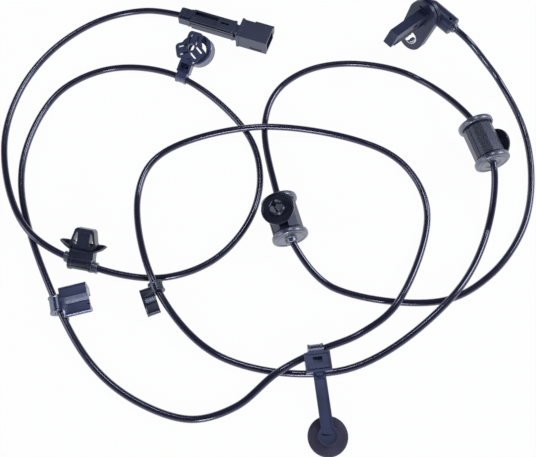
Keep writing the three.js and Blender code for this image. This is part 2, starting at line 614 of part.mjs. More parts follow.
// A rubber sleeve on the cable, as long as the piece that grips it needs
function bushOnCable(group, index, radius, length) {
  const limit = block(length, 8 * radius, 8 * radius);
  const sleeve = tubeAlongRoute(radius / Math.cos(Math.PI / CABLE_SIDES), CABLE_SIDES, index - 2, index + 3)
    .applyMatrix4(group.matrixWorld.clone().invert());
  return cut(keepInside(sleeve, limit), cableRoom(group, index));
}

const clipBush = bushOnCable(largeClip, largeClipIndex, clipBushRadius - SEAT_GAP, LARGE_CLIP.ringLength);
addPiece(largeClip, 'large_pipe_clip_bush', clipBush, FINISHES.rubber);

// Long tie: loop, box head, flat bar and round end, with a soft domed disc below the end
const longTie = addGroup(ROUTE[longTieIndex].toArray(), [LONG_TIE_DIP, 0, LONG_TIE_YAW]);

function tieLoop(width, reach, outer) {
  const loop = rodAlongX(outer, -width / 2, width / 2, 24);
  const tongue = block(width, reach, TIE_WALL * 2, 0, reach / 2, outer - TIE_WALL);
  return [loop, tongue];
}

function addLongTie() {
  const headStart = LONG_TIE_HEAD_START;
  const headEnd = headStart + LONG_TIE_HEAD_LENGTH;
  const headBottom = LONG_TIE_HEAD_BOTTOM;
  const headTop = headBottom + TIE_HEAD_HEIGHT;
  const headMiddle = (headStart + headEnd) / 2;
  const box = block(LONG_TIE_HEAD_WIDTH, LONG_TIE_HEAD_LENGTH, TIE_HEAD_HEIGHT, 0, headMiddle,
    (headBottom + headTop) / 2);
  const window = block(TIE_WIDTH, TIE_WINDOW, TIE_HEAD_HEIGHT + 2, 0,
    headMiddle - LONG_TIE_WINDOW_SHIFT,
    (headBottom + headTop) / 2);
  const barTop = headBottom + LONG_TIE_BAR_THICKNESS + LONG_TIE_BAR_RISE;
  const barMiddle = barTop - LONG_TIE_BAR_THICKNESS / 2;
  const bar = block(TIE_WIDTH, LONG_TIE_REACH - headEnd + 2, LONG_TIE_BAR_THICKNESS, 0,
    (headEnd - 2 + LONG_TIE_REACH) / 2, barMiddle);
  const end = rodAlongZ(LONG_TIE_END_RADIUS, barTop - LONG_TIE_BAR_THICKNESS, barTop, 28)
    .translate(0, LONG_TIE_REACH, 0);
  const [loop, tongue] = tieLoop(LONG_TIE_LOOP_WIDTH, headMiddle, LONG_TIE_LOOP_RADIUS);
  const whole = join(loop, tongue, box, bar, end);
  addPiece(longTie, 'long_tie', cut(whole, cableRoom(longTie, longTieIndex), window),
    FINISHES.clipPlastic);
  const discTop = barTop - LONG_TIE_BAR_THICKNESS - SEAT_GAP;
  const disc = turnedAlongZ([
    [0, discTop - LONG_TIE_DISC_HEIGHT + 1], [LONG_TIE_DISC_RADIUS - 2, discTop - LONG_TIE_DISC_HEIGHT],
    [LONG_TIE_DISC_RADIUS, discTop - LONG_TIE_DISC_HEIGHT + 0.5],
    [LONG_TIE_DISC_RADIUS * 0.86, discTop - LONG_TIE_DISC_HEIGHT * 0.45],
    [LONG_TIE_DISC_RADIUS * 0.6, discTop - 0.6], [LONG_TIE_END_RADIUS, discTop], [0, discTop],
  ], 32);
  addPiece(longTie, 'long_tie_disc', disc.translate(0, LONG_TIE_REACH, 0), FINISHES.rubber);
}

addLongTie();

// Star tie: loop, head with a window, three-armed slitted plate and the round cup below it
const starTieIndex = largeClipIndex + TO_STAR_TIE.length;
const starTie = addGroup(ROUTE[starTieIndex].toArray(), [STAR_TIE_RISE, 0, STAR_TIE_YAW]);

function starPlate() {
  const arms = [];
  const slits = [];
  for (let i = 0; i < 3; i += 1) {
    const angle = degrees(90 + 120 * i);
    arms.push(block(STAR_RADIUS, STAR_ARM_WIDTH, STAR_THICKNESS, STAR_RADIUS / 2, 0, 0).rotateZ(angle));
    for (const side of [-1, 1]) {
      slits.push(block(STAR_SLIT_END - STAR_SLIT_START, STAR_SLIT_WIDTH, STAR_THICKNESS + 2,
        (STAR_SLIT_START + STAR_SLIT_END) / 2, side * STAR_SLIT_SPACING / 2, 0).rotateZ(angle));
    }
  }
  const hub = rodAlongZ(STAR_HUB_RADIUS, -STAR_THICKNESS / 2, STAR_THICKNESS / 2, 24);
  const limit = rodAlongZ(STAR_RADIUS, -STAR_THICKNESS, STAR_THICKNESS, 36);
  const hole = rodAlongZ(STAR_HOLE_RADIUS, -STAR_THICKNESS, STAR_THICKNESS, 6);
  return cut(keepInside(join(hub, ...arms), limit), hole, ...slits);
}

function addStarTie() {
  const headStart = CABLE_RADIUS + TIE_WALL;
  const headMiddle = headStart + STAR_HEAD_LENGTH / 2;
  const [loop, tongue] = tieLoop(TIE_WIDTH, headMiddle, CABLE_RADIUS + SEAT_GAP + TIE_WALL);
  const headBox = block(STAR_HEAD_WIDTH, STAR_HEAD_LENGTH, TIE_HEAD_HEIGHT, 0, headMiddle,
    STAR_HEAD_MIDDLE);
  const window = block(TIE_WIDTH - 1, TIE_WINDOW, TIE_HEAD_HEIGHT + 2, 0, headMiddle + 0.8,
    STAR_HEAD_MIDDLE);
  const tilted = new THREE.Matrix4().makeRotationY(degrees(STAR_TIE_ROLL))
    .setPosition(0, STAR_REACH, STAR_HEAD_MIDDLE + TIE_HEAD_HEIGHT / 2);
  const neckEnd = STAR_REACH - STAR_RADIUS + STAR_NECK_OVERLAP;
  const neck = block(STAR_HEAD_WIDTH - 1, neckEnd - headMiddle, STAR_NECK_THICKNESS,
    0, (neckEnd + headMiddle) / 2, TIE_HEAD_HEIGHT / 2);
  const whole = join(loop, tongue, headBox, neck, starPlate().applyMatrix4(tilted));
  addPiece(starTie, 'star_tie', cut(whole, cableRoom(starTie, starTieIndex), window),
    FINISHES.clipPlastic);
  const top = -STAR_THICKNESS / 2 - SEAT_GAP;
  const cupWall = turnedAlongZ([
    [CUP_RADIUS - CUP_WALL, top - CUP_HEIGHT], [CUP_RADIUS, top - CUP_HEIGHT], [CUP_RADIUS, top],
    [CUP_RADIUS - CUP_LIP, top], [CUP_RADIUS - CUP_LIP, top - CUP_WALL],
    [CUP_RADIUS - CUP_WALL, top - CUP_WALL], [CUP_RADIUS - CUP_WALL, top - CUP_HEIGHT],
  ], 36).translate(CUP_SHIFT, 0, 0);
  const neckLow = STAR_HEAD_MIDDLE - TIE_HEAD_HEIGHT / 2 - SEAT_GAP;
  const neckRoom = block(STAR_HEAD_WIDTH + 1, neckEnd + SEAT_GAP, 3 * TIE_HEAD_HEIGHT, 0,
    (neckEnd + SEAT_GAP) / 2, neckLow + 1.5 * TIE_HEAD_HEIGHT);
  const cup = cut(cupWall.applyMatrix4(tilted), neckRoom);
  addPiece(starTie, 'star_tie_cup', cup, FINISHES.clipPlastic);
}

addStarTie();

// Fir-tree stud: bush on the cable, saddle round it, umbrella wings and the sprung arrow head
const firIndex = starTieIndex + TO_FIR_TREE.length;
const firTree = addGroup(ROUTE[firIndex].toArray(), [FIR_LEAN, 0, FIR_YAW]);

function addFirTree() {
  const waist = FIR_CORE_HALF_WIDTH + FIR_WING_THICKNESS;
  const tip = FIR_TIP_HALF_WIDTH;
  const wide = FIR_SHOULDER_HALF_WIDTH;
  const legTop = FIR_SHOULDER_HEIGHT + FIR_LEG_WIDTH;
  const arrow = barAlongY([[-waist, FIR_WING_HEIGHT - FIR_WING_THICKNESS],
    [waist, FIR_WING_HEIGHT - FIR_WING_THICKNESS], [wide, FIR_SHOULDER_HEIGHT], [wide - 1, legTop],
    [tip, FIR_TIP], [-tip, FIR_TIP], [1 - wide, legTop], [-wide, FIR_SHOULDER_HEIGHT]],
  -FIR_DEPTH / 2, FIR_DEPTH / 2);
  const gaps = [-1, 1].map((side) => barAlongY([
    [side * FIR_CORE_HALF_WIDTH, FIR_SHOULDER_HEIGHT - 0.6],
    [side * (wide - FIR_LEG_WIDTH), FIR_SHOULDER_HEIGHT + 0.8],
    [side * (tip - FIR_LEG_WIDTH / 2), FIR_TIP - FIR_TOP_WALL],
    [side * FIR_CORE_HALF_WIDTH, FIR_TIP - FIR_TOP_WALL]], -FIR_DEPTH, FIR_DEPTH));
  const wings = rodAlongZ(1, FIR_WING_HEIGHT - FIR_WING_THICKNESS, FIR_WING_HEIGHT, 28)
    .scale(FIR_WING_HALF_SPAN, FIR_WING_DEPTH, 1);
  const baseTop = FIR_WING_HEIGHT - FIR_WING_THICKNESS / 2;
  const base = block(2 * (wide - 1), FIR_DEPTH, baseTop - CABLE_RADIUS, 0, 0, (baseTop + CABLE_RADIUS) / 2);
  const saddle = rodAlongX(FIR_SADDLE_RADIUS, -FIR_SADDLE_LENGTH / 2, FIR_SADDLE_LENGTH / 2, 24);
  const whole = join(cut(arrow, ...gaps), wings, base, saddle);
  addPiece(firTree, 'fir_tree_stud', cut(whole, cableRoom(firTree, firIndex, FIR_BUSH_RADIUS)),
    FINISHES.clipPlastic);
  addPiece(firTree, 'fir_tree_bush', bushOnCable(firTree, firIndex, FIR_BUSH_RADIUS, FIR_BUSH_LENGTH),
    FINISHES.rubber);
}

addFirTree();

// Plug: rear cap, body with a window, narrow waist and the shroud with its lock block and two blades
const plugEnd = ROUTE[spans];
const plug = addGroup(plugEnd.toArray(), [0, 0, PLUG_YAW]);
const capStart = -CABLE_IN_PLUG;
const bodyStart = capStart + CAP_LENGTH + SEAT_GAP;
const bodyEnd = bodyStart + BODY_LENGTH;
const shroudStart = bodyEnd + WAIST_LENGTH;
const shroudEnd = shroudStart + SHROUD_LENGTH;
const shroudFloor = shroudEnd - SHROUD_DEPTH;

function rearCap() {
  const middle = capStart + CAP_LENGTH / 2;
  const wide = block(CAP_LENGTH, CAP_WIDTH, CAP_HEIGHT - 2 * CAP_CORNER, middle, 0, 0);
  const tall = block(CAP_LENGTH, CAP_WIDTH - 2 * CAP_CORNER, CAP_HEIGHT, middle, 0, 0);
  const sealRoom = rodAlongX(CABLE_RADIUS + SEAL_WALL, capStart + SEAL_START, capStart + CAP_LENGTH + 1, 24);
  const mouth = rodAlongX(CABLE_RADIUS + LOOSE_GAP, capStart - 1, capStart + CAP_LENGTH, 20);
  return cut(join(wide, tall), sealRoom, mouth, cableRoom(plug, spans));
}

function plugHousing() {
  const bodyMiddle = (bodyStart + bodyEnd) / 2;
  const body = block(BODY_LENGTH, BODY_WIDTH, BODY_HEIGHT, bodyMiddle, 0, 0);
  const waist = block(WAIST_LENGTH + 2, WAIST_WIDTH, BODY_HEIGHT - WAIST_LOWER, bodyEnd + WAIST_LENGTH / 2);
  const shroud = block(SHROUD_LENGTH, SHROUD_WIDTH, SHROUD_HEIGHT, (shroudStart + shroudEnd) / 2, 0, 0);
  const lock = block(LOCK_LENGTH, LOCK_WIDTH, SHROUD_HEIGHT * 0.6, shroudEnd - LOCK_LENGTH / 2,
    (SHROUD_WIDTH + LOCK_WIDTH) / 2 - SEAT_GAP, 0);
  const guide = block(BODY_LENGTH, GUIDE_WIDTH, GUIDE_HEIGHT, bodyMiddle,
    -BODY_WIDTH / 2 - GUIDE_WIDTH / 4, BODY_HEIGHT / 2 - 1.6 * GUIDE_HEIGHT);
  const windowCut = block(WINDOW_LENGTH, WINDOW_WIDTH, 2 * WINDOW_DEPTH,
    bodyStart + WINDOW_INSET + WINDOW_LENGTH / 2, 0, BODY_HEIGHT / 2);
  const slot = block(SLOT_LENGTH, SLOT_WIDTH, 2 * SLOT_DEPTH, bodyEnd - SLOT_INSET, 0, BODY_HEIGHT / 2);
  const cavity = block(SHROUD_DEPTH + 1, SHROUD_WIDTH - 2 * SHROUD_WALL, SHROUD_HEIGHT - 2 * SHROUD_WALL,
    shroudFloor + (SHROUD_DEPTH + 1) / 2, 0, 0);
  const passageLength = BLADE_ROOT + BLADE_PASSAGE;
  const bladeRooms = [-1, 1].map((side) => block(
    passageLength, BLADE_WIDTH + 2 * SEAT_GAP, BLADE_THICKNESS + 2 * SEAT_GAP,
    shroudFloor - passageLength / 2 + 1, side * BLADE_SPACING / 2, 0));
  const wireRoom = rodAlongX(CABLE_RADIUS, bodyStart - 1, shroudFloor - BLADE_ROOT - 1, 20);
  return cut(join(body, waist, shroud, lock, guide), windowCut, slot, cavity, wireRoom, ...bladeRooms);
}

function addPlug() {
  addPiece(plug, 'connector_rear_cap', rearCap(), FINISHES.housingPlastic);
  addPiece(plug, 'connector_housing', plugHousing(), FINISHES.housingPlastic);
  const seal = rodAlongX(CABLE_RADIUS + SEAL_WALL - SEAT_GAP, capStart + SEAL_START + SEAT_GAP,
    capStart + CAP_LENGTH, 24);
  const sealBore = rodAlongX(CABLE_RADIUS + SEAT_GAP, -1, CAP_LENGTH, 20);
  addPiece(plug, 'connector_wire_seal', cut(seal, cableRoom(plug, spans), sealBore), FINISHES.rubber);
  const insert = block(RETAINER_LENGTH, SHROUD_WIDTH - 2 * SHROUD_WALL - 2 * SEAT_GAP,
    SHROUD_HEIGHT - 2 * SHROUD_WALL - 2 * SEAT_GAP, shroudFloor + SEAT_GAP + RETAINER_LENGTH / 2, 0, 0);
  const passages = [-1, 1].map((side) => block(RETAINER_LENGTH + 2, BLADE_WIDTH + 2 * SEAT_GAP,
    BLADE_THICKNESS + 2 * SEAT_GAP, shroudFloor + RETAINER_LENGTH / 2, side * BLADE_SPACING / 2, 0));
  addPiece(plug, 'connector_retainer', cut(insert, ...passages), FINISHES.retainerPlastic);
  for (const [name, side] of [['connector_blade_upper', 1], ['connector_blade_lower', -1]]) {
    const blade = block(BLADE_ROOT + BLADE_REACH, BLADE_WIDTH, BLADE_THICKNESS,
      shroudFloor + (BLADE_REACH - BLADE_ROOT) / 2, side * BLADE_SPACING / 2, 0);
    addPiece(plug, name, blade, FINISHES.tinnedCopper);
  }
}

addPlug();

export default part;
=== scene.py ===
import math
import bmesh
import bpy
from mathutils import Euler, Matrix, Vector


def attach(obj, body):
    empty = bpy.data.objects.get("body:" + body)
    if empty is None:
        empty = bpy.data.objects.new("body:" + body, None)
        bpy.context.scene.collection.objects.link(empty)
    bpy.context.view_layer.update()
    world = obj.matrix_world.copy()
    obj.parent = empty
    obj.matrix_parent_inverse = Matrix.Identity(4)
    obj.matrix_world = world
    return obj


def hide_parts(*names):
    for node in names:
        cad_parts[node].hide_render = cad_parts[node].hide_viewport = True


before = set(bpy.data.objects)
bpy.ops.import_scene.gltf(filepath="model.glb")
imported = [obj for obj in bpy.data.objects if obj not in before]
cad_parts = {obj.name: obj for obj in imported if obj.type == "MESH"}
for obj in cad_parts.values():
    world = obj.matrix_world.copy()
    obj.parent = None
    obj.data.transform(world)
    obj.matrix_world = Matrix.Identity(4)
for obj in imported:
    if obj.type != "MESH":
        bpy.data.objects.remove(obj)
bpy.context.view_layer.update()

# The camera looks down on the laid-out lead from the front, a little more than half a metre away,
# with the lens that gives the photograph its wide spread.
camera_target = Vector((-0.1181, -0.1574, 0.0025))
camera_distance = 0.6
camera_elevation = math.radians(66)


def add_object(name, data):
    """A new object in the scene, at the origin."""
    thing = bpy.data.objects.new(name, data)
    bpy.context.scene.collection.objects.link(thing)
    return thing


camera = add_object("camera", bpy.data.cameras.new("camera"))
camera.data.lens = 55
camera.data.sensor_width = 36
camera.location = camera_target + camera_distance * Vector((0, -math.cos(camera_elevation),
                                                            math.sin(camera_elevation)))
camera.rotation_euler = (math.pi / 2 - camera_elevation, 0, 0)
bpy.context.scene.camera = camera
bpy.context.scene.view_settings.view_transform = "Standard"

# The surface below is a wide sheet of plain white card. It stays white to the eye and in reflections,
# and keeps a soft shadow of what lies on it.
card = bpy.data.materials.new("white_card")
card.use_nodes = True
card_nodes = card.node_tree.nodes
card_links = card.node_tree.links
paper = card_nodes["Principled BSDF"]
paper.inputs["Base Color"].default_value = (0.9, 0.9, 0.92, 1)
paper.inputs["Roughness"].default_value = 0.9
glow = card_nodes.new("ShaderNodeEmission")
glow.inputs["Color"].default_value = (1, 1, 1, 1)
glow.inputs["Strength"].default_value = 1.0
ray = card_nodes.new("ShaderNodeLightPath")
seen = ray.outputs["Is Camera Ray"]
for kind in ("Is Glossy Ray", "Is Transmission Ray"):
    either = card_nodes.new("ShaderNodeMath")
    either.operation = "MAXIMUM"
    card_links.new(seen, either.inputs[0])
    card_links.new(ray.outputs[kind], either.inputs[1])
    seen = either.outputs[0]
share = card_nodes.new("ShaderNodeMath")
share.operation = "MULTIPLY"
share.inputs[1].default_value = 0.97
card_links.new(seen, share.inputs[0])
mix = card_nodes.new("ShaderNodeMixShader")
card_links.new(share.outputs[0], mix.inputs[0])
card_links.new(paper.outputs[0], mix.inputs[1])
card_links.new(glow.outputs[0], mix.inputs[2])
card_links.new(mix.outputs[0], card_nodes["Material Output"].inputs["Surface"])


def mesh_of(name, form):
    """A mesh made from a form, which is used up."""
    mesh = bpy.data.meshes.new(name)
    form.to_mesh(mesh)
    form.free()
    return mesh


sheet = bmesh.new()
bmesh.ops.create_circle(sheet, cap_ends=True, segments=64, radius=4)
bmesh.ops.translate(sheet, vec=(camera_target.x, camera_target.y, -0.0002), verts=sheet.verts)
floor = add_object("floor", mesh_of("floor", sheet))
floor.data.materials.append(card)

# Daylight from the front and sides, dusky overhead and behind, and four soft lamps. The small ones, high
# behind the lead and low in front of it, draw its bright lines, and the large ones at the sides fill in.
world = bpy.data.worlds.new("white_room")
bpy.context.scene.world = world
world.use_nodes = True
room_nodes = world.node_tree.nodes
room_links = world.node_tree.links
backdrop = room_nodes["Background"]
backdrop.inputs["Strength"].default_value = 0.65
direction = room_nodes.new("ShaderNodeTexCoord")
overhead = room_nodes.new("ShaderNodeVectorMath")
overhead.operation = "DOT_PRODUCT"
overhead.inputs[1].default_value = (0, 0.3, 0.9)
room_links.new(direction.outputs["Generated"], overhead.inputs[0])
height = room_nodes.new("ShaderNodeValToRGB")
height.color_ramp.elements[0].position = 0.15
height.color_ramp.elements[0].color = (0.88, 0.91, 1, 1)
height.color_ramp.elements[1].position = 0.42
height.color_ramp.elements[1].color = (0.045, 0.052, 0.11, 1)
room_links.new(overhead.outputs["Value"], height.inputs[0])
room_links.new(height.outputs[0], backdrop.inputs["Color"])
plain = room_nodes.new("ShaderNodeBackground")
plain.inputs["Color"].default_value = (1, 1, 1, 1)
plain.inputs["Strength"].default_value = 1.0
room_ray = room_nodes.new("ShaderNodeLightPath")
room_mix = room_nodes.new("ShaderNodeMixShader")
room_links.new(room_ray.outputs["Is Camera Ray"], room_mix.inputs[0])
room_links.new(backdrop.outputs[0], room_mix.inputs[1])
room_links.new(plain.outputs[0], room_mix.inputs[2])
room_links.new(room_mix.outputs[0], room_nodes["World Output"].inputs["Surface"])


def hang_lamp(name, spot, size, power):
    lamp = add_object(name, bpy.data.lights.new(name, "AREA"))
    lamp.data.shape = "DISK"
    lamp.data.size = size
    lamp.data.energy = power
    lamp.data.color = (0.88, 0.91, 1)
    lamp.location = spot
    lamp.rotation_euler = (camera_target - spot).to_track_quat("-Z", "Y").to_euler()


hang_lamp("high_lamp", camera_target + Vector((0, 0.62, 1.38)), 0.26, 2.4)
hang_lamp("front_lamp", camera_target + Vector((0.1, -1.5, 0.62)), 0.4, 7)
hang_lamp("left_lamp", camera_target + Vector((-1.4, -0.2, 0.75)), 0.8, 5)
hang_lamp("right_lamp", camera_target + Vector((1.3, 0.5, 1.1)), 0.8, 14)

# The lead's route, in millimetres, from the sensor's boss to the plug. Each list is the stretch that
# ends at the piece it is named for, and the lead humps over itself where it crosses.
to_middle_grommet = [(20, 6.4, 33.44), (36, -10.6, 31.6), (51, -22.1, 20), (65, -34.6, 8),
                     (79.5, -72.6, 2.8), (80, -117.6, 2.6), (68, -158.6, 2.6), (40.5, -194.1, 2.6),
                     (3, -213.6, 2.6), (-72.5, -203.1, 2.6)]
in_middle_grommet = [(-101.5, -171.1, 13.4), (-110.7, -138, 13.4)]
to_right_grommet = [(-120.5, -67.6, 2.6), (-109.5, -36.6, 2.6), (-83.5, -17.6, 2.6), (-44, -12.6, 2.6),
                    (1.5, -27.1, 2.6)]
in_right_grommet = [(37.3, -77.5, 19.2), (48, -113, 19.2)]
to_small_clip = [(42, -160.1, 2.6), (9, -214.1, 8.6), (-65.5, -262.6, 2.6), (-150.5, -253.6, 2.6),
                 (-196.4, -205.6, 9)]
to_long_tie = [(-215, -129.1, 2.6), (-200.5, -96.1, 2.6), (-128, -75.1, 8.6), (-43.5, -85.6, 2.6),
               (-13, -107.1, 2.6), (-0.5, -145.1, 2.6), (-28.5, -217.6, 8.6), (-54.5, -237.6, 4),
               (-85.5, -251.1, 6)]
to_large_clip = [(-112.5, -266.6, 8.6), (-139, -287.6, 3.5), (-168.5, -296.1, 2.6),
                 (-203.5, -285.6, 2.6), (-236, -261.6, 2.8), (-265.3, -217.6, 6)]
to_star_tie = [(-302.5, -126.1, 2.6), (-301, -78.6, 2.6), (-280.5, -36.6, 2.6), (-240, -16.6, 2.6),
               (-186.5, -27.6, 5)]
to_fir_tree = [(-134.5, -76.6, 2.6), (-124, -116.1, 2.6), (-133, -153.1, 2.6), (-158.5, -183.1, 2.6),
               (-196.5, -196.1, 2.6), (-251.5, -185.8, 6)]
to_plug = [(-293.5, -159.6, 8.6), (-320, -91.6, 2.6), (-314.5, -39.1, 2.6), (-292, 1.9, 2.6),
           (-257, 30.4, 2.6), (-220, 39.4, 4), (-189.4, 32.5, 6.9), (-181.9, 29.9, 6.9)]
route = [Vector(spot) for spot in (
    *to_middle_grommet, *in_middle_grommet, *to_right_grommet, *in_right_grommet, *to_small_clip,
    *to_long_tie, *to_large_clip, *to_star_tie, *to_fir_tree, *to_plug)]
lead_radius = 2.5
lead_rest_height = 2.6
lead_samples = 14


def on_route(index, share):
    """The smooth curve between a route point and the next, in millimetres, never below the surface."""
    ends = [2 * route[0] - route[1], *route, 2 * route[-1] - route[-2]]
    before, start, end, after = ends[index:index + 4]
    reach = [math.sqrt((b - a).length) for a, b in ((before, start), (start, end), (end, after))]
    leave = ((start - before) / reach[0] - (end - before) / (reach[0] + reach[1])
             + (end - start) / reach[1]) * reach[1]
    arrive = ((end - start) / reach[1] - (after - start) / (reach[1] + reach[2])
              + (after - end) / reach[2]) * reach[1]
    spot = (start + leave * share + (3 * (end - start) - 2 * leave - arrive) * share ** 2
            + (2 * (start - end) + leave + arrive) * share ** 3)
    spot.z = max(spot.z, lead_rest_height)
    return spot


def lay_tube(name, first, last, radius, sides=6):
    """A round tube along the route between two of its points, as a curve in metres."""
    spots = [on_route(i, k / lead_samples) for i in range(first, last) for k in range(lead_samples)]
    spots.append(on_route(last - 1, 1))
    line = bpy.data.curves.new(name, "CURVE")
    line.dimensions = "3D"
    line.bevel_depth = radius * 0.001
    line.bevel_resolution = sides
    line.use_fill_caps = True
    run = line.splines.new("POLY")
    run.points.add(len(spots) - 1)
    for point, spot in zip(run.points, spots):
        point.co = (*(spot * 0.001), 1)
    return add_object(name, line)


# The lead is extruded: a smooth black jacket over two twisted cores. It lies loose and shines in one narrow
# line under the high lamp.


def blank(name, finish):
    """A new material whose shader has the finish's values on its own sockets."""
    material = bpy.data.materials.new(name)
    material.use_nodes = True
    for socket, amount in finish.items():
        material.node_tree.nodes["Principled BSDF"].inputs[socket].default_value = amount
    return material


def drive(material, output, socket):
    """Links a node's output to a socket of the material's shader."""
    shader = material.node_tree.nodes["Principled BSDF"]
    material.node_tree.links.new(output, shader.inputs[socket])


def add_noise(material, place, scale, detail=2):
    noise = material.node_tree.nodes.new("ShaderNodeTexNoise")
    noise.inputs["Scale"].default_value = scale
    noise.inputs["Detail"].default_value = detail
    material.node_tree.links.new(place, noise.inputs["Vector"])
    return noise.outputs["Fac"]


def add_tone(material, noise, dark, light, low=0, high=1):
    """Colours the base from dark to light, as a noise grows from low to high."""
    tone = material.node_tree.nodes.new("ShaderNodeValToRGB")
    for stop, position, colour in zip(tone.color_ramp.elements, (low, high), (dark, light)):
        stop.position = position
        stop.color = (*colour, 1)
    material.node_tree.links.new(noise, tone.inputs[0])
    drive(material, tone.outputs[0], "Base Color")


def add_bump(material, noise, strength, distance):
    bump = material.node_tree.nodes.new("ShaderNodeBump")
    bump.inputs["Strength"].default_value = strength
    bump.inputs["Distance"].default_value = distance
    material.node_tree.links.new(noise, bump.inputs["Height"])
    drive(material, bump.outputs[0], "Normal")


jacket = blank("jacket", {
    "Roughness": 0.18, "IOR": 1.7, "Specular Tint": (0.72, 0.74, 1, 1), "Coat Weight": 0.5,
    "Coat Roughness": 0.14, "Sheen Weight": 0.25, "Sheen Roughness": 0.5,
    "Sheen Tint": (0.62, 0.62, 0.95, 1)})
jacket_place = jacket.node_tree.nodes.new("ShaderNodeTexCoord").outputs["Object"]
add_tone(jacket, add_noise(jacket, jacket_place, 60, 5), (0.007, 0.007, 0.016), (0.022, 0.021, 0.048))
add_bump(jacket, add_noise(jacket, jacket_place, 1400), 0.02, 0.0003)
lead = lay_tube("lead", 0, len(route) - 1, lead_radius)
lead.data.materials.append(jacket)
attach(lead, "root")
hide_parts("cable")

# The sensor head is one dark moulding of glass-filled plastic: a teardrop flange with a bolt ear, the nose
# that reaches into the hub carrier, a short body behind and the round boss for the lead.
head_turn = (79, 3.5, -46)
flange_radius = 12.5
flange_thickness = 7
ear_distance = 24.8
ear_radius = 11.4
ear_turn = -3.3
ear_hole = 6.3
nose_width = 7.6
nose_depth = 10.2
nose_length = 37
nose_slant = 3.8
nose_wall = 1.5
rear_body_radius = 8
rear_body_sunk = 2
boss_length = 22
boss_radius = 7.2
boss_bore = 4.5
boss_axis = -12.6
lead_in_boss = 8
nose_slot_height = 13
pin_hole_turn = -72
pin_hole_inset = 4


def place_at(spot, turn_x=0, turn_y=0, turn_z=0):
    """The place of a piece: a spot in millimetres and turns in degrees, as a matrix in metres."""
    turn = Euler([math.radians(a) for a in (turn_x, turn_y, turn_z)], "XYZ")
    return Matrix.Translation(Vector(spot) * 0.001) @ turn.to_matrix().to_4x4()


head_axes = place_at((0, 0, 0), *head_turn)
boss_mouth = head_axes.to_3x3() @ Vector((boss_length - lead_in_boss, 0, boss_axis))
head_place = place_at(route[0] - boss_mouth, *head_turn)


def block(size, middle=(0, 0, 0)):
    form = bmesh.new()
    bmesh.ops.create_cube(form, size=1)
    bmesh.ops.scale(form, vec=size, verts=form.verts)
    bmesh.ops.translate(form, vec=middle, verts=form.verts)
    return form


def rod(radius, low, high, sides=56, end_radius=None):
    form = bmesh.new()
    end = radius if end_radius is None else end_radius
    bmesh.ops.create_cone(form, cap_ends=True, segments=sides, radius1=radius, radius2=end,
                          depth=high - low)
    bmesh.ops.translate(form, vec=(0, 0, (low + high) / 2), verts=form.verts)
    return form


def turn(form, axis, angle):
    bmesh.ops.rotate(form, cent=(0, 0, 0), matrix=Matrix.Rotation(math.radians(angle), 3, axis),
                     verts=form.verts)
    return form


def shift(form, x, y, z):
    bmesh.ops.translate(form, vec=(x, y, z), verts=form.verts)
    return form


def slab(outline, low, high):
    """A flat outline raised from one height to another."""
    form = bmesh.new()
    face = form.faces.new([form.verts.new((x, y, low)) for x, y in outline])
    grown = bmesh.ops.extrude_face_region(form, geom=[face])
    top = [v for v in grown["geom"] if isinstance(v, bmesh.types.BMVert)]
    bmesh.ops.translate(form, vec=(0, 0, high - low), verts=top)
    bmesh.ops.recalc_face_normals(form, faces=form.faces)
    return form


def turned(profile, sides=56, ring=False):
    """A profile of radius and height spun about the Z axis."""
    form = bmesh.new()
    line = [form.verts.new((radius, 0, level)) for radius, level in profile]
    edges = [form.edges.new(pair) for pair in zip(line, line[1:] + line[:1] if ring else line[1:])]
    bmesh.ops.spin(form, geom=line + edges, cent=(0, 0, 0), axis=(0, 0, 1), angle=2 * math.pi,
                   steps=sides, use_merge=True)
    bmesh.ops.remove_doubles(form, verts=form.verts, dist=1e-4)
    bmesh.ops.recalc_face_normals(form, faces=form.faces)
    return form


def turned_along_x(profile, sides=48, ring=False):
    return turn(turned(profile, sides, ring), "Y", 90)


def both_ends(half):
    """A profile that is the same at both ends, from its lower half."""
    return half + [(radius, -level) for radius, level in reversed(half)]


def trim(form, spot, outward):
    """Cuts away what lies past a plane and closes the cut."""
    bmesh.ops.bisect_plane(form, geom=form.verts[:] + form.edges[:] + form.faces[:], plane_co=spot,
                           plane_no=outward, clear_outer=True)
    bmesh.ops.holes_fill(form, edges=form.edges)
    bmesh.ops.recalc_face_normals(form, faces=form.faces)
    return form


def arc(x, y, radius, start, end, steps):
    """Points along an arc, with its angles in degrees."""
    angles = [math.radians(start + (end - start) * i / steps) for i in range(steps + 1)]
    return [(x + radius * math.cos(a), y + radius * math.sin(a)) for a in angles]


def fit(bodies, cuts=()):
    """Fuses closed forms into one and cuts the others out of it."""
    tools = []
    for form in (*bodies, *cuts):
        tools.append(add_object("form", mesh_of("form", form)))
    for count, tool in enumerate(tools[1:], 1):
        step = tools[0].modifiers.new("fit", "BOOLEAN")
        step.object = tool
        step.operation = "UNION" if count < len(bodies) else "DIFFERENCE"
    whole = tools[0].evaluated_get(bpy.context.evaluated_depsgraph_get())
    form = bmesh.new()
    form.from_mesh(whole.to_mesh())
    whole.to_mesh_clear()
    for tool in tools:
        bpy.data.meshes.remove(tool.data)
    bmesh.ops.remove_doubles(form, verts=form.verts, dist=1e-3)
    bmesh.ops.dissolve_limit(form, angle_limit=math.radians(0.6), verts=form.verts, edges=form.edges)
    return form


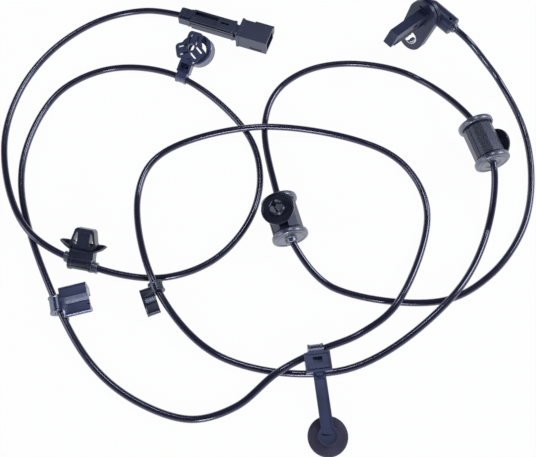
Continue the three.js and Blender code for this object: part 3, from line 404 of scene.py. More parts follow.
def settle(name, form, place, material, rounding=0.35):
    """Brings a form in millimetres to its place in metres, with softly rounded edges."""
    bmesh.ops.transform(form, matrix=place @ Matrix.Scale(0.001, 4), verts=form.verts)
    mesh = mesh_of(name, form)
    mesh.shade_smooth()
    mesh.materials.append(material)
    piece = add_object(name, mesh)
    if rounding:
        edges = piece.modifiers.new("edges", "BEVEL")
        edges.width = rounding * 0.001
        edges.segments = 3
        edges.limit_method = "ANGLE"
        edges.angle_limit = math.radians(32)
        edges.harden_normals = True
    else:
        mesh.set_sharp_from_angle(angle=math.radians(32))
    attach(piece, "root")
    return piece


def add_gloss(material, noise, low, high):
    """Lets the roughness follow a noise."""
    gloss = material.node_tree.nodes.new("ShaderNodeMapRange")
    gloss.inputs["To Min"].default_value = low
    gloss.inputs["To Max"].default_value = high
    material.node_tree.links.new(noise, gloss.inputs["Value"])
    drive(material, gloss.outputs[0], "Roughness")


def moulded(name, dark, light, roughness, patch=35, grain=900, depth=0.015, gloss_index=1.5, coat=0,
            sheen=0.2):
    """Moulded plastic or rubber: a cloudy tone, a fine grain and a roughness that varies a little."""
    material = blank(name, {
        "IOR": gloss_index, "Coat Weight": coat, "Coat Roughness": 0.3, "Coat IOR": 1.9,
        "Specular Tint": (0.66, 0.74, 1, 1), "Sheen Weight": sheen, "Sheen Roughness": 0.45,
        "Sheen Tint": (0.70, 0.74, 1, 1)})
    spot = material.node_tree.nodes.new("ShaderNodeTexCoord").outputs["Object"]
    cloud = add_noise(material, spot, patch, 4)
    add_tone(material, cloud, dark, light, 0.35, 0.7)
    add_gloss(material, cloud, roughness - 0.06, roughness + 0.08)
    add_bump(material, add_noise(material, spot, grain), depth, 0.0003)
    return material


head_plastic = moulded("head_plastic", (0.013, 0.016, 0.040), (0.031, 0.037, 0.086), 0.38, gloss_index=1.6,
                       coat=0.1, sheen=0.1)
lean = math.degrees(math.asin((flange_radius - ear_radius) / ear_distance))
teardrop = (arc(0, 0, flange_radius, lean, 180 - lean, 40)
            + arc(0, -ear_distance, ear_radius, 180 - lean, 360 + lean, 36))
flange = turn(slab(teardrop, -flange_thickness, 0), "Z", ear_turn)
rear_body = rod(rear_body_radius, boss_axis + rear_body_sunk, -flange_thickness / 2)
boss_profile = [*arc(0, 0, boss_radius, -90, 0, 12), (boss_radius, boss_length - 0.5),
                (boss_radius - 0.5, boss_length), (0, boss_length)]
boss = shift(turned_along_x(boss_profile, 64), 0, 0, boss_axis)


def nose_bar(inset, tip):
    """The nose, or the room inside it: an outline in Y and Z across the nose's width."""
    half = nose_depth / 2 - inset
    side = [(boss_axis, half), (tip, half), (tip + nose_slant, -half), (boss_axis, -half)]
    bar = slab(side, -nose_width / 2 + inset, nose_width / 2 - inset)
    return turn(bar, "Y", -90)


nose = nose_bar(0, nose_length)
nose_room = nose_bar(nose_wall, nose_length - 1.6)
rail = block((nose_width + 1.4, 0.7, nose_length), (0, -nose_depth / 2 + 0.35, nose_length / 2))
second_rail = block((nose_width + 0.9, 0.6, nose_length - 4),
                    (0, -nose_depth / 2 + 1.9, nose_length / 2 - 2))
fin = block((2.2, 1.4, 15), (-(nose_width + 2.2) / 2 + 0.35, -0.7, 24.5))
root = block((nose_width + 3.4, nose_depth + 2.6, 1.6), (0, 0, 0.2))
groove = turned([(flange_radius - 0.9, -3.85), (flange_radius + 2, -3.85), (flange_radius + 2, -2.75),
                 (flange_radius - 0.9, -2.75)], 72, ring=True)
trim(groove, (0, 0.01, 0), (0, -1, 0))
ear_bore = turn(shift(rod(ear_hole, -flange_thickness - 1, 1), 0, -ear_distance, 0), "Z", ear_turn)
boss_bore_room = shift(turn(rod(boss_bore, -nose_width / 2, boss_length + 1, 36), "Y", 90),
                       0, 0, boss_axis)
slot_cut = turn(slab(arc(0, 1.2, 1.5, 0, 180, 8) + arc(0, -1.2, 1.5, 180, 360, 8), -1, 1), "Y", 90)
shift(turn(slot_cut, "X", 90), nose_width / 2, 0.4, nose_slot_height)
pin_hole = shift(turn(rod(1.1, 0, boss_radius + 1, 20), "X", pin_hole_turn),
                 boss_length - pin_hole_inset, 0, boss_axis)
housing = settle("head_moulding", fit([flange, rear_body, boss, nose, rail, second_rail, fin, root],
                                      [ear_bore, boss_bore_room, nose_room, groove, slot_cut, pin_hole]),
                 head_place, head_plastic)
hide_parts("sensor_housing")

# The bush pressed into the ear is rolled from bright plated steel strip, with a closed seam and chamfered
# mouths, so that the bolt clamps on metal.
bush_radius = 6
bush_wall = 1
bush_proud = 0.4


def metal(name, dark, light, roughness, streaks=(300, 300, 20)):
    """Bare metal with fine drawn streaks and faint clouding."""
    material = blank(name, {"Metallic": 1})
    spot = material.node_tree.nodes.new("ShaderNodeTexCoord")
    stretch = material.node_tree.nodes.new("ShaderNodeMapping")
    stretch.inputs["Scale"].default_value = streaks
    material.node_tree.links.new(spot.outputs["Object"], stretch.inputs["Vector"])
    drawn = add_noise(material, stretch.outputs["Vector"], 6, 5)
    add_tone(material, drawn, dark, light)
    add_gloss(material, drawn, roughness - 0.05, roughness + 0.1)
    add_bump(material, drawn, 0.15, 0.0002)
    return material


bush_inner = bush_radius - bush_wall
bush_low = -flange_thickness - bush_proud
bush_ring = turned([(bush_inner + 0.3, bush_low), (bush_radius - 0.2, bush_low),
                    (bush_radius, bush_low + 0.3), (bush_radius, bush_proud - 0.3),
                    (bush_radius - 0.2, bush_proud), (bush_inner + 0.3, bush_proud),
                    (bush_inner, bush_proud - 0.4), (bush_inner, bush_low + 0.4)], 64, ring=True)
bush_seam = block((0.14, bush_wall + 1, flange_thickness + 3), (0, bush_radius - 0.4, -flange_thickness / 2))
bush_form = turn(shift(fit([bush_ring], [bush_seam]), 0, -ear_distance, 0), "Z", ear_turn)
ear_bush = settle("ear_bush", bush_form, head_place,
                  metal("plated_steel", (0.66, 0.68, 0.74), (0.86, 0.88, 0.94), 0.24), 0)
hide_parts("mounting_bush")

# The strain relief is a soft black rubber collar pressed into the boss. Two shallow rings on the end that
# stands proud let it bend with the lead.
relief_length = 10
relief_proud = 3
lead_grip = lead_radius + 0.12
rubber = moulded("rubber", (0.007, 0.008, 0.018), (0.016, 0.017, 0.040), 0.42, patch=55, grain=1600,
                 gloss_index=2.5, coat=0.8, sheen=0.2)


def lead_room(place, first, last, radius):
    """The lead, or a sleeve along it, as a closed form in millimetres in a piece's own frame."""
    tube = lay_tube("room", first, last, radius, 12)
    solid = tube.evaluated_get(bpy.context.evaluated_depsgraph_get())
    form = bmesh.new()
    form.from_mesh(solid.to_mesh())
    solid.to_mesh_clear()
    bpy.data.curves.remove(tube.data)
    bmesh.ops.remove_doubles(form, verts=form.verts, dist=1e-6)
    bmesh.ops.recalc_face_normals(form, faces=form.faces)
    bmesh.ops.transform(form, matrix=Matrix.Scale(1000, 4) @ place.inverted(), verts=form.verts)
    return form


relief_profile = [(0, relief_proud - relief_length), (4.2, relief_proud - relief_length), (4.2, 0.3),
                  (3.6, 0.5), (3.6, 0.9), (4.1, 1.1), (3.95, 1.7), (3.4, 1.9), (3.4, 2.2), (3.75, 2.4),
                  (3.5, relief_proud), (0, relief_proud)]
relief_form = shift(turned_along_x(relief_profile), boss_length, 0, boss_axis)
relief = settle("relief_collar", fit([relief_form], [lead_room(head_place, 0, 2, lead_grip)]),
                head_place, rubber, 0)
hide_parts("strain_relief")

# Inside the nose, out of sight: the sensing chip in dark resin and the sintered magnet behind it, on a pale
# carrier with two tinned strips to the lead. Their shapes are the frame's own.


def repaint(node, material):
    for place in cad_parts[node].material_slots:
        place.material = material


repaint("sensing_element", moulded("chip_resin", (0.006, 0.006, 0.007), (0.02, 0.02, 0.022), 0.5, grain=2500))
repaint("bias_magnet", metal("sintered_magnet", (0.12, 0.12, 0.13), (0.24, 0.24, 0.26), 0.5, (90, 90, 90)))
repaint("element_carrier", moulded("carrier_plastic", (0.42, 0.40, 0.33), (0.52, 0.50, 0.42), 0.5))
tinned = metal("tinned_copper", (0.56, 0.55, 0.52), (0.78, 0.77, 0.74), 0.32)
repaint("lead_terminal_left", tinned)
repaint("lead_terminal_right", tinned)

# Two grommets hold the lead to the bodywork. Each sleeve is moulded rubber with a round-edged flange at
# both ends, a shallow ring in each flange's face and a short smooth neck.
middle_grommet_index = len(to_middle_grommet)
right_grommet_index = middle_grommet_index + 2 + len(to_right_grommet)
grommet_flange = 13.3
grommet_flange_thickness = 4.4
grommet_barrel = 8.4
grommet_neck = 4.6
grommet_neck_length = 3.5
grommet_rounding = 1.4
middle_grommet_roll = 18
right_grommet_roll = 125


def grommet_frame(index, roll):
    """The place of a grommet, with its axis along the lead, and half its length in millimetres."""
    start, end = route[index:index + 2]
    heading = math.degrees(math.atan2(end.y - start.y, end.x - start.x))
    return place_at((start + end) / 2, -roll, 0, heading), (end - start).length / 2 - 0.5


def add_sleeve(name, index, roll):
    place, half = grommet_frame(index, roll)
    inner = half - grommet_flange_thickness
    rim = grommet_flange - grommet_rounding
    neck_end = -half - grommet_neck_length
    profile = [(0, neck_end), (grommet_neck - 1, neck_end), (grommet_neck - 0.4, neck_end + 0.5),
               (grommet_neck, -half - 0.5), (grommet_neck + 0.6, -half),
               (rim - 2.4, -half), (rim - 2.1, -half + 0.4), (rim - 1.3, -half + 0.4), (rim - 1, -half),
               *arc(rim, -half + grommet_rounding, grommet_rounding, -90, 0, 6),
               *arc(rim, -inner - grommet_rounding, grommet_rounding, 0, 90, 6),
               (grommet_barrel, -inner), (grommet_barrel, inner),
               *arc(rim, inner + grommet_rounding, grommet_rounding, -90, 0, 6),
               *arc(rim, half - grommet_rounding, grommet_rounding, 0, 90, 6),
               (rim - 1, half), (rim - 1.3, half - 0.4), (rim - 2.1, half - 0.4), (rim - 2.4, half),
               (grommet_neck + 1.6, half), (grommet_neck + 0.8, half - 0.7), (0, half - 0.7)]
    form = turned_along_x(profile, 64)
    sleeve = settle(name, fit([form], [lead_room(place, index - 1, index + 2, lead_grip)]),
                    place, rubber, 0)
    return sleeve


middle_sleeve = add_sleeve("middle_sleeve", middle_grommet_index, middle_grommet_roll)
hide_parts("middle_grommet_sleeve")
right_sleeve = add_sleeve("right_sleeve", right_grommet_index, right_grommet_roll)
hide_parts("right_grommet_sleeve")

# Round each sleeve's barrel sits a ten-sided holder of blacker plastic with one ribbed side and a moulding
# seam. It carries a push stud: a dished plate with a raised rim and a split head with four sprung legs.
holder_radius = 11.4
holder_sides = 10
holder_shorter = 3
holder_ribs = 7
stud_plate_radius = 12.2
stud_plate_height = 13.8
stud_plate_thickness = 1.8
stud_neck = 3.2
stud_neck_length = 1.6
stud_head = 5.2
stud_head_length = 7
clip_plastic = moulded("clip_plastic", (0.018, 0.023, 0.060), (0.038, 0.048, 0.118), 0.34, gloss_index=2.4,
                       coat=0.5, sheen=0.1)
holder_plastic = moulded("holder_plastic", (0.003, 0.003, 0.008), (0.007, 0.008, 0.020), 0.34,
                         gloss_index=1.9, coat=0.3, sheen=0.1)


def add_holder(name, index, roll, stud_shift, rib_turn):
    place, half = grommet_frame(index, roll)
    inner = half - grommet_flange_thickness - holder_shorter / 2
    shell = turn(rod(holder_radius, -inner, inner, holder_sides), "Y", 90)
    flat = holder_radius * math.cos(math.pi / holder_sides)
    half_side = holder_radius * math.sin(math.pi / holder_sides)
    step = 2 * half_side / (holder_ribs + 1)
    bodies = [shell]
    for i in range(1, holder_ribs + 1):
        rib = block((2 * inner - 1, step / 2, 0.9), (0, i * step - half_side, flat))
        bodies.append(turn(rib, "X", rib_turn))
    top = stud_plate_height + stud_plate_thickness
    neck_top = top + stud_neck_length
    dish = turned([(0, grommet_barrel + 0.3), (stud_head + 0.8, grommet_barrel + 0.3),
                   (stud_head, stud_plate_height - 0.6), (stud_plate_radius - 0.4, stud_plate_height),
                   (stud_plate_radius, stud_plate_height + 0.4), (stud_plate_radius, top - 0.2),
                   (stud_plate_radius - 0.3, top), (stud_plate_radius - 1, top),
                   (stud_plate_radius - 1.6, top - 1.1), (stud_neck + 1.6, top - 1.3),
                   (stud_neck, top + 0.6), (stud_neck, neck_top + 0.6), (0, neck_top + 0.6)], 64)
    bodies.append(shift(dish, stud_shift, 0, 0))
    head = turned([(0, neck_top), (stud_neck, neck_top), (stud_head, neck_top + 1),
                   (stud_head, neck_top + 2.5), (2.9, neck_top + 5.9), (2.2, neck_top + stud_head_length),
                   (0, neck_top + stud_head_length)], 8)
    bodies.append(shift(turn(head, "Z", 22.5), stud_shift, 0, 0))
    slot_middle = neck_top + 2.6 + stud_head_length / 2
    slots = [block((1.1, 2 * stud_head + 1, stud_head_length), (stud_shift, 0, slot_middle)),
             block((2 * stud_head + 1, 1.1, stud_head_length), (stud_shift, 0, slot_middle))]
    hollow = turn(rod(grommet_barrel + 0.3, -inner - 1, inner + 1, 64), "Y", 90)
    seam = turn(block((2 * inner + 1, 0.5, 1.2), (0, 0, flat)), "X", 180)
    holder = settle(name, fit(bodies, [hollow, seam, *slots]), place, holder_plastic, 0.25)
    return holder


middle_holder = add_holder("middle_holder", middle_grommet_index, middle_grommet_roll, 3, -72)
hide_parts("middle_grommet_holder")
right_holder = add_holder("right_holder", right_grommet_index, right_grommet_roll, 0, 144)
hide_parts("right_grommet_holder")

# Two moulded pipe clips of one design and two sizes, the small one in the grommets' blacker plastic: a ring
# round the lead, and beside it a block of two lobes over a channel that snaps on a pipe. A thin round rim
# stands at the block's end.
large_clip_spec = {"ring": 5.8, "ring_length": 12, "length": 21, "width": 19, "top": 10, "step": 5.5,
                   "foot": 5.8, "pipe": 5, "side": -1, "shift": -1, "rim": 11.4, "turn": -13.5, "sleeve": 3.8}
small_clip_spec = {"ring": 5.4, "ring_length": 7.4, "length": 19.5, "width": 9.5, "top": 3.6, "step": 3.6,
                   "foot": 8.6, "pipe": 4, "side": 1, "shift": -8, "rim": 8.8, "turn": -8, "sleeve": 2.5}
clip_rim_thickness = 1.2
small_clip_index = right_grommet_index + 1 + len(to_small_clip)
long_tie_index = small_clip_index + len(to_long_tie)
large_clip_index = long_tie_index + len(to_large_clip)


def heading_at(index):
    ahead = on_route(index, 0.001) - on_route(index - 1, 0.999)
    return math.degrees(math.atan2(ahead.y, ahead.x))


def bar_along_y(outline, low, high):
    """A bar whose outline is given in X and Z, from one Y to another."""
    return turn(slab(outline, -high, -low), "X", 90)


def add_pipe_clip(name, index, spec, plastic):
    place = place_at(route[index], 0, 0, heading_at(index) + spec["turn"])
    near = spec["shift"] - spec["length"] / 2
    far = spec["shift"] + spec["length"] / 2
    top = spec["top"]
    low = top - spec["step"]
    step = spec["shift"] + 1
    foot = spec["foot"]
    undercut = 0.45 * (low - 2.6 + foot)
    outline = [(near + undercut, -foot), (far, -foot), (far, top - 3.2),
               *arc(far - 3.2, top - 3.2, 3.2, 0, 90, 6), (step + 1.2, top), (step + 0.4, top - 0.4),
               (step, top - 1.2),
               (step - 0.6, 0.45 * low + 0.55 * top), (step - 1.5, 0.75 * low + 0.25 * top),
               (step - 2.6, low + 0.3), (step - 3, low - 0.5), (step - 3.4, low),
               *arc(near + 2.6, low - 2.6, 2.6, 90, 180, 6)]
    start = spec["sleeve"]
    end = start + spec["width"]
    side = spec["side"]
    body = bar_along_y(outline, min(side * start, side * end), max(side * start, side * end))
    ring_half = spec["ring_length"] / 2
    ring = turned_along_x(both_ends([(0, -ring_half), (spec["ring"], -ring_half),
                                     (spec["ring"], -ring_half + 1),
                                     (spec["ring"] - 0.5, -ring_half + 1.5)]), 56)
    rim_at = side * (start + clip_rim_thickness if side < 0 else end - clip_rim_thickness / 2)
    rim_middle = top - spec["rim"] + 0.8
    rim = turn(rod(spec["rim"], -clip_rim_thickness / 2, clip_rim_thickness / 2, 64), "X", 90)
    shift(rim, spec["shift"], rim_at, rim_middle)
    trim(rim, (0, 0, -foot), (0, 0, -1))
    channel_low, channel_high = sorted((side * (start + 1.5), side * (end + 2)))
    channel = shift(turn(rod(spec["pipe"], -channel_high, -channel_low, 56), "X", 90),
                    spec["shift"], 0, spec["pipe"] / 2 - foot)
    dip = [shift(turn(rod(0.8, -2, 2, 20), "X", 90), spot, side * end, top - drop)
           for spot, drop in ((step + 5, 3), (step - 6, 6))]
    room = lead_room(place, index - 1, index + 1, spec["sleeve"] + 0.15)
    clip = settle(name, fit([body, ring, rim], [channel, room, *dip]), place, plastic, 0.3)
    return clip


small_clip = add_pipe_clip("small_clip", small_clip_index, small_clip_spec, holder_plastic)
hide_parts("small_pipe_clip")
large_clip = add_pipe_clip("large_clip", large_clip_index, large_clip_spec, clip_plastic)
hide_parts("large_pipe_clip")

# A sleeve of black rubber lines the large clip's ring, so that the ring grips the lead without marking it.
# It is a length of tube, pushed along the lead.
clip_bush_length = 12


def add_lead_bush(name, place, index, radius, length):
    """A rubber sleeve along the lead, trimmed to a length in the frame of the piece that grips it."""
    sleeve = lead_room(place, index - 1, index + 1, radius)
    for end in (-1, 1):
        trim(sleeve, (end * length / 2, 0, 0), (end, 0, 0))
    room = lead_room(place, index - 1, index + 1, lead_grip)
    bush = settle(name, fit([sleeve], [room]), place, rubber, 0.25)
    return bush


large_clip_place = place_at(route[large_clip_index], 0, 0,
                            heading_at(large_clip_index) + large_clip_spec["turn"])
clip_bush = add_lead_bush("large_clip_sleeve", large_clip_place, large_clip_index, 3.5, clip_bush_length)
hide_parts("large_pipe_clip_bush")

# The long tie: a strap loop round the lead, a box head with a window and a cross lip, a flat bar with
# raised edges and a round end. It is one moulding of the clips' plastic.
tie_width = 8.4
tie_wall = 1.4
tie_head_height = 6.4
tie_window = 4.2
long_tie_place = place_at(route[long_tie_index], -3, 0, 187)
long_tie_reach = 56.6
long_tie_end = 6.6
long_loop_width = 10.6
long_loop_radius = 5.6
head_width = 17.6
head_length = 13.5
head_start = 1.6
head_end = head_start + head_length
head_middle = (head_start + head_end) / 2
head_bottom = 1.5
head_top = head_bottom + tie_head_height
bar_top = head_bottom + 2.4


def strap_loop(width, reach, outer):
    """The loop of strap round the lead, with thicker edges, and the strap's run into the head."""
    half = width / 2
    loop = turned_along_x(both_ends([(0, -half), (outer, -half), (outer, -half + 1.3),
                                     (outer - 0.4, -half + 1.7)]), 56)
    return [loop, block((width, reach, tie_wall * 2), (0, reach / 2, outer - tie_wall))]


box_head = block((head_width, head_length, tie_head_height), (0, head_middle, (head_bottom + head_top) / 2))
nub = block((4.2, 2.4, 2.2), (0, head_end + 0.9, head_bottom + 4.2))
flat_bar = block((tie_width, long_tie_reach - head_end + 2, 1.8),
                 (0, (head_end - 2 + long_tie_reach) / 2, bar_top - 0.9))
recess_floor = bar_top - 0.7
bar_recess = block((tie_width - 2, long_tie_reach - head_end - 4, 2),
                   (0, (head_end + long_tie_reach) / 2 + 2, recess_floor + 1))
round_end = shift(rod(long_tie_end, bar_top - 1.8, bar_top, 64), 0, long_tie_reach, 0)
end_recess = shift(rod(long_tie_end - 1.2, recess_floor, bar_top + 1, 64), 0, long_tie_reach, 0)
head_window = block((tie_width - 2, tie_window, 8), (0, head_middle - 1.6, head_bottom + 2.4 + 4))
head_rim = block((head_width - 2.4, head_length - 2.4, 1.6), (0, head_middle, head_top))
head_lip = block((head_width - 4, 2.2, 3), (0, head_end - 3.4, head_top - 1.3))
long_loop = strap_loop(long_loop_width, head_middle, long_loop_radius)
long_tie = fit([*long_loop, box_head, flat_bar, round_end, nub],
               [lead_room(long_tie_place, long_tie_index - 1, long_tie_index + 1, lead_radius + 0.3),
                head_window, head_rim, bar_recess, end_recess])
long_tie_piece = settle("bar_tie", fit([long_tie, head_lip]), long_tie_place, clip_plastic, 0.35)
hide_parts("long_tie")

# Under the bar's round end sits a soft domed disc of brown-black foam rubber, dished below, with faint
# rings from its mould.
disc_radius = 13.5
disc_height = 4
disc_top = bar_top - 1.8 - 0.3
foam = moulded("foam_rubber", (0.034, 0.026, 0.044), (0.066, 0.052, 0.086), 0.62, patch=90, grain=1100,
               depth=0.2, sheen=0.6)
dome = [(disc_radius * math.cos(math.radians(a)),
         disc_top - disc_height + 0.6 + (disc_height - 0.6) * math.sin(math.radians(a)) ** 0.8)
        for a in range(0, 64, 4)]
dome_ring = [(radius - 0.12 * (i % 3 == 1), level - 0.05 * (i % 3 == 1)) for i, (radius, level) in
             enumerate(dome)]
disc_profile = [(0, disc_top - disc_height + 1.2), (disc_radius - 2.4, disc_top - disc_height),
                (disc_radius - 0.6, disc_top - disc_height + 0.1), *dome_ring, (long_tie_end, disc_top),
                (0, disc_top)]
soft_disc = settle("soft_disc", shift(turned(disc_profile, 72), 0, long_tie_reach, 0), long_tie_place,
                   foam, 0)
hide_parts("long_tie_disc")

# The star tie is one moulding of the clips' plastic: a strap loop and a small head, from which a three-armed
# plate reaches out. Each arm has two long slits that make it springy, and the middle has a six-sided hole.
star_tie_index = large_clip_index + len(to_star_tie)
star_place = place_at(route[star_tie_index], 22, 0, -22)
star_reach = 24.5
star_radius = 13
star_thickness = 1.8
star_arm = 12.5
star_head_width = 10.5
star_head_length = 9
star_middle_radius = 9
slit_ends = (3.25, 9.75)
slit_place = 3.2
slit_half_width = 0.65
star_head_start = lead_radius + tie_wall
star_head_middle = star_head_start + star_head_length / 2
star_tilt = Matrix.Translation((0, star_reach, 1 + tie_head_height / 2)) @ Matrix.Rotation(
    math.radians(-10), 4, "Y")
star_arms = [rod(star_middle_radius, -star_thickness / 2, star_thickness / 2)]
star_slits = []
for angle in (90, 210, 330):
    arm = [(0, -star_arm / 2), *arc(star_radius - 3.2, -star_arm / 2 + 3.1, 3.1, -90, 0, 5),
           *arc(star_radius - 3.2, star_arm / 2 - 3.1, 3.1, 0, 90, 5), (0, star_arm / 2)]
    star_arms.append(turn(slab(arm, -star_thickness / 2, star_thickness / 2), "Z", angle))
    for side in (-1, 1):
        slit = [*arc(slit_ends[0], side * slit_place, slit_half_width, 90, 270, 5),
                *arc(slit_ends[1], side * slit_place, slit_half_width, -90, 90, 5)]
        star_slits.append(turn(slab(slit, -2, 2), "Z", angle))
star_hole = rod(3.0, -3, 3, 6)
star_plate = fit(star_arms, [star_hole, *star_slits])
bmesh.ops.transform(star_plate, matrix=star_tilt, verts=star_plate.verts)
star_neck_end = star_reach - star_radius + 3.9
star_neck = block((star_head_width - 1, star_neck_end - star_head_middle, 2.9),
                  (0, (star_neck_end + star_head_middle) / 2, tie_head_height / 2))
star_box = block((star_head_width, star_head_length, tie_head_height), (0, star_head_middle, 1))
star_window = block((tie_width - 1, tie_window, 8), (0, star_head_middle + 0.8, 3.4))
star_pawl = shift(turn(rod(1.1, -2, 2, 24), "Y", 90), -1, star_head_middle + 0.8, 0)
star_loop = strap_loop(tie_width, star_head_middle, lead_radius + 0.3 + tie_wall)
star_body = fit([*star_loop, star_box, star_neck, star_plate],
                [lead_room(star_place, star_tie_index - 1, star_tie_index + 1, lead_radius + 0.3),
                 star_window])
star_tie = settle("star_plate_tie", fit([star_body, star_pawl]), star_place, clip_plastic, 0.3)
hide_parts("star_tie")

# The round cup below the star plate is a thin-walled moulding of the same plastic, with a low shelf and six
# ribs inside its wall. The tie's neck passes through a gap in the wall.
cup_radius = 12.4
cup_shift = 4.5
cup_wall = 1.3
cup_height = 8
cup_lip = 5.6
cup_lip_depth = 2.4
cup_top = -star_thickness / 2 - 0.3
cup_section = [(0.3 - cup_wall, -cup_height), (-0.3, -cup_height), (0, 0.5 - cup_height), (-0.25, -3),
               (0, -0.5), (-0.4, 0), (0.3 - cup_wall, 0), (-cup_wall, -0.3), (-cup_wall, -cup_lip_depth),
               (-cup_lip, -cup_lip_depth - 0.4), (-cup_lip, -cup_lip_depth - cup_wall),
               (-cup_wall, -cup_lip_depth - cup_wall), (-cup_wall, -cup_height)]
cup_form = turned([(cup_radius + out, cup_top + up) for out, up in cup_section], 72, ring=True)
cup_ribs = [turn(block((1.6, 0.9, cup_height - 4), (cup_radius - 1.5, 0, cup_top - cup_height / 2 - 1.8)),
                 "Z", 30 + 60 * i) for i in range(6)]
cup = shift(fit([cup_form, *cup_ribs]), cup_shift, 0, 0)
bmesh.ops.transform(cup, matrix=star_tilt, verts=cup.verts)
neck_low = 1 - tie_head_height / 2 - 0.3
neck_room = block((star_head_width + 1, star_neck_end + 0.3, 3 * tie_head_height),
                  (0, (star_neck_end + 0.3) / 2, neck_low + 1.5 * tie_head_height))
cup_piece = settle("star_cup", fit([cup], [neck_room]), star_place, clip_plastic, 0.2)
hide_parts("star_tie_cup")

# The fir-tree stud, in blacker plastic: a saddle clamped round the lead, a thin oval umbrella that leans and
# turns up its tips to seal the hole, and an arrow head whose two sprung legs leave a window on each side of
# its core.
fir_index = star_tie_index + len(to_fir_tree)
fir_place = place_at(route[fir_index], 62, 0, 169)
fir_tip = 25
fir_wide = 9.9
fir_wing_span = 16.6
fir_wing_half_depth = 6.2
fir_wing_fold = 7
fir_wing_rise = 16
fir_wing_lean = -24
fir_sleeve_radius = 4
fir_sleeve_length = 25
fir_tip_half = 6.8
fir_depth = 8.5
fir_core = 4.4
fir_wing_height = 10.4
fir_shoulder = 13.5
fir_leg = 2.2
arrow_side = [(fir_core + 1.4, fir_wing_height - 1.4), (fir_wide, fir_shoulder),
              (fir_wide - 0.2, fir_shoulder + 1.2), (fir_wide - 1, fir_shoulder + fir_leg),
              (fir_tip_half + 0.2, fir_tip - 1.4), (fir_tip_half - 1.2, fir_tip)]
arrow = bar_along_y(arrow_side + [(-x, z) for x, z in reversed(arrow_side)], -fir_depth / 2, fir_depth / 2)
leg_gaps = []
for side in (-1, 1):
    gap = [(side * fir_core, fir_shoulder - 0.6), (side * (fir_wide - fir_leg), fir_shoulder + 0.8),
           (side * (fir_tip_half - fir_leg / 2), fir_tip - 3), (side * fir_core, fir_tip - 3)]
    leg_gaps.append(bar_along_y(gap, -fir_depth, fir_depth))
core_ribs = [block((2 * fir_core - 2, 0.8, 7.5), (0, side * (fir_depth / 2 + 0.1), fir_shoulder + 3.6))
             for side in (-1, 1)]
umbrella = turned([(0, -1.4), (0.4, -1.6), (0.62, -1.4), (0.85, -0.4), (1, 1.4), (0.97, 1.7), (0.8, 0.5),
                   (0.55, -0.5), (0.35, -0.2), (0, 0)], 72)
bmesh.ops.scale(umbrella, vec=(fir_wing_span + 1.4, fir_wing_half_depth, 1), verts=umbrella.verts)
for side in (-1, 1):
    wing_tip = [v for v in umbrella.verts if side * v.co.x > fir_wing_fold]
    bmesh.ops.rotate(umbrella, cent=(side * fir_wing_fold, 0, 0), verts=wing_tip,
                     matrix=Matrix.Rotation(math.radians(-fir_wing_rise * side), 3, "Y"))
shift(turn(umbrella, "X", fir_wing_lean), 0, 0, fir_wing_height)
base_top = fir_wing_height - 0.7
base = block((2 * (fir_wide - 1), fir_depth, base_top - lead_radius), (0, 0, (base_top + lead_radius) / 2))
saddle = turned_along_x(both_ends([(0, -9), (5.5, -9), (5.8, -8.6), (5.8, -6.4), (5.3, -6)]), 56)
fir_body = fit([fit([arrow], leg_gaps), umbrella, base, saddle, *core_ribs],
               [lead_room(fir_place, fir_index - 1, fir_index + 1, fir_sleeve_radius + 0.3)])
fir_piece = settle("arrow_stud", fir_body, fir_place, holder_plastic, 0.3)
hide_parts("fir_tree_stud")

# A longer rubber sleeve lies on the lead inside the stud's saddle and shows at both of its ends. The saddle
# is clamped on it.
fir_sleeve = add_lead_bush("stud_sleeve", fir_place, fir_index, fir_sleeve_radius, fir_sleeve_length)
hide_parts("fir_tree_bush")

# The plug's rear cap snaps on behind the body and holds the wire seal. Its corners are stepped and two
# latch windows show the catches below.
plug_place = place_at(route[-1], 0, 0, -19.5)
cap_start = -8
cap_length = 10.4
cap_width = 11.6
cap_height = 10.8
cap_seal_room = lead_radius + 1.7
plug_plastic = moulded("plug_plastic", (0.008, 0.010, 0.025), (0.018, 0.022, 0.054), 0.36, gloss_index=2.0,
                       coat=0.2, sheen=0.1)
cap_middle = cap_start + cap_length / 2
cap_wide = block((cap_length, cap_width, cap_height - 4), (cap_middle, 0, 0))
cap_tall = block((cap_length, cap_width - 4, cap_height), (cap_middle, 0, 0))
cap_band = block((1.6, cap_width + 0.6, cap_height - 3.4), (cap_start + cap_length - 1.4, 0, 0))
cap_room = turned_along_x([(0, cap_start - 1), (lead_radius + 0.4, cap_start - 1),
                           (lead_radius + 0.4, cap_start + 3), (cap_seal_room, cap_start + 3),
                           (cap_seal_room, cap_start + cap_length + 1), (0, cap_start + cap_length + 1)])
cap_mouth = turned_along_x([(0, cap_start - 0.5), (lead_radius + 1.6, cap_start - 0.5),
                            (lead_radius + 0.4, cap_start + 0.9), (0, cap_start + 0.9)])
cap_lead = lead_room(plug_place, len(route) - 3, len(route) - 1, lead_radius + 0.15)
latch_windows = [block((3, 3.2, 1.0), (cap_start + 5.6, 0, side * cap_height / 2)) for side in (-1, 1)]
cap_lines = [block((0.5, cap_width + 2, 0.7), (cap_start + 2.2, 0, side * cap_height / 2))
             for side in (-1, 1)]
rear_cap = settle("plug_cap", fit([cap_wide, cap_tall, cap_band],
                                  [cap_room, cap_mouth, cap_lead, *latch_windows, *cap_lines]),
                  plug_place, plug_plastic, 0.3)
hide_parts("connector_rear_cap")

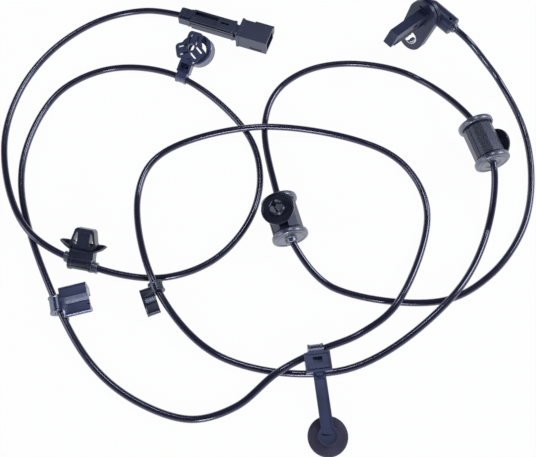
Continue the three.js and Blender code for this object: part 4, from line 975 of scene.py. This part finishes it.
# The plug's housing: a long body with a deep window on top and two guide rails, a narrow waist, and the
# wide shroud with its lock block.
body_start = 2.7
body_length = 37
body_end = body_start + body_length
body_width = 11.2
body_height = 10.8
waist_length = 3.4
shroud_start = body_end + waist_length
shroud_length = 26
shroud_end = shroud_start + shroud_length
shroud_width = 17.4
shroud_height = 13.4
shroud_wall = 1.6
shroud_floor = shroud_end - 19
blade_spacing = 5.4
waist_width = 8
lock_length = 16
lock_width = 3.4
window_length = 20
window_width = 7.6
window_depth = 2.8
body_middle = (body_start + body_end) / 2
shroud_middle = (shroud_start + shroud_end) / 2
plug_bodies = [
    block((body_length, body_width, body_height), (body_middle, 0, 0)),
    block((waist_length + 2, waist_width, body_height - 3), (body_end + waist_length / 2, 0, 0)),
    block((waist_length + 2, body_width - 0.6, 4), (body_end + waist_length / 2, 0, 2 - body_height / 2)),
    block((shroud_length, shroud_width, shroud_height), (shroud_middle, 0, 0)),
    block((2.2, shroud_width + 0.9, shroud_height + 0.9), (shroud_start + 1.1, 0, 0)),
    block((lock_length, lock_width, shroud_height * 0.6),
          (shroud_end - lock_length / 2, shroud_width / 2 + 1.4, 0)),
    block((body_length, 1.2, 1.4), (body_middle, -body_width / 2 - 0.3, body_height / 2 - 2.4)),
    block((body_length, 0.9, 1), (body_middle, -body_width / 2 - 0.1, body_height / 2 - 5)),
    block((1.8, body_width + 0.6, body_height + 0.4), (body_end - 1.2, 0, 0))]
plug_cuts = [
    block((window_length, window_width, 2 * window_depth),
          (body_start + window_length / 2 + 1.5, 0, body_height / 2)),
    block((7, 2, 3), (body_end - 9, 0, body_height / 2)),
    block((20, shroud_width - 2 * shroud_wall, shroud_height - 2 * shroud_wall), (shroud_floor + 10, 0, 0)),
    turned_along_x([(0, body_start - 1), (lead_radius, body_start - 1),
                    (lead_radius, shroud_floor - 9), (0, shroud_floor - 9)])]
for side in (-1, 1):
    plug_cuts.append(block((11, 3.4, 1.4), (shroud_floor - 4.5, side * blade_spacing / 2, 0)))
    plug_cuts.append(block((10, 0.9, 3.2), (shroud_end - 9, side * (shroud_width / 2), -3.4)))
plug_housing = settle("plug_housing", fit(plug_bodies, plug_cuts), plug_place,
                      plug_plastic, 0.3)
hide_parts("connector_housing")

# The wire seal inside the cap is a moulded rubber ring with three sealing ribs. It is pressed between the
# lead and the cap.
seal_start = cap_start + 3.3
seal_end = cap_start + cap_length
seal_profile = [(lead_radius + 0.2, seal_start), (3.8, seal_start)]
for i in range(3):
    rib_at = seal_start + 1.2 + 2.2 * i
    seal_profile += [(3.5, rib_at - 0.6), (3.9, rib_at), (3.9, rib_at + 0.4), (3.5, rib_at + 1)]
seal_profile += [(3.8, seal_end), (lead_radius + 0.2, seal_end)]
wire_seal = settle("plug_seal", turned_along_x(seal_profile, ring=True), plug_place, rubber, 0)
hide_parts("connector_wire_seal")

# The retainer is a plain insert on the shroud's floor that keeps the blades from backing out. Round each
# blade's passage it has a raised collar.
retainer_plastic = moulded("retainer_plastic", (0.05, 0.055, 0.10), (0.08, 0.09, 0.15), 0.45)
retainer_length = 5
retainer_form = block((retainer_length, shroud_width - 2 * shroud_wall - 0.6,
                       shroud_height - 2 * shroud_wall - 0.6),
                      (shroud_floor + 0.3 + retainer_length / 2, 0, 0))
collars = []
passages = []
for side in (-1, 1):
    collars.append(block((1.2, 5, 3), (shroud_floor + 5.6, side * blade_spacing / 2, 0)))
    passages.append(block((9, 3.4, 1.4), (shroud_floor + 3.5, side * blade_spacing / 2, 0)))
retainer_notches = [block((3, 2.6, 1.4), (shroud_floor + 4.6, side * 5.2, 4.6)) for side in (-1, 1)]
retainer = settle("plug_retainer", fit([retainer_form, *collars], [*passages, *retainer_notches]),
                  plug_place, retainer_plastic, 0.25)
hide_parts("connector_retainer")

# Two flat blades stamped from tinned copper stand in the shroud, with chamfered leading ends and a small
# locating hole. The retainer holds them.
blade_width = 2.8
blade_thickness = 0.8
blade_reach = 13
blade_root = 8
for name, side in (("upper", 1), ("lower", -1)):
    blade_outline = both_ends([(shroud_floor - blade_root, -blade_width / 2),
                               (shroud_floor + blade_reach - 1.2, -blade_width / 2),
                               (shroud_floor + blade_reach, -blade_width / 2 + 0.7)])
    blade_form = slab(blade_outline, -blade_thickness / 2, blade_thickness / 2)
    blade_hole = shift(rod(0.5, -1, 1, 20), shroud_floor + blade_reach - 3.4, 0, 0)
    blade_form = shift(fit([blade_form], [blade_hole]), 0, side * blade_spacing / 2, 0)
    blade = settle("blade_" + name, blade_form, plug_place, tinned, 0.12)
    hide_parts("connector_blade_" + name)
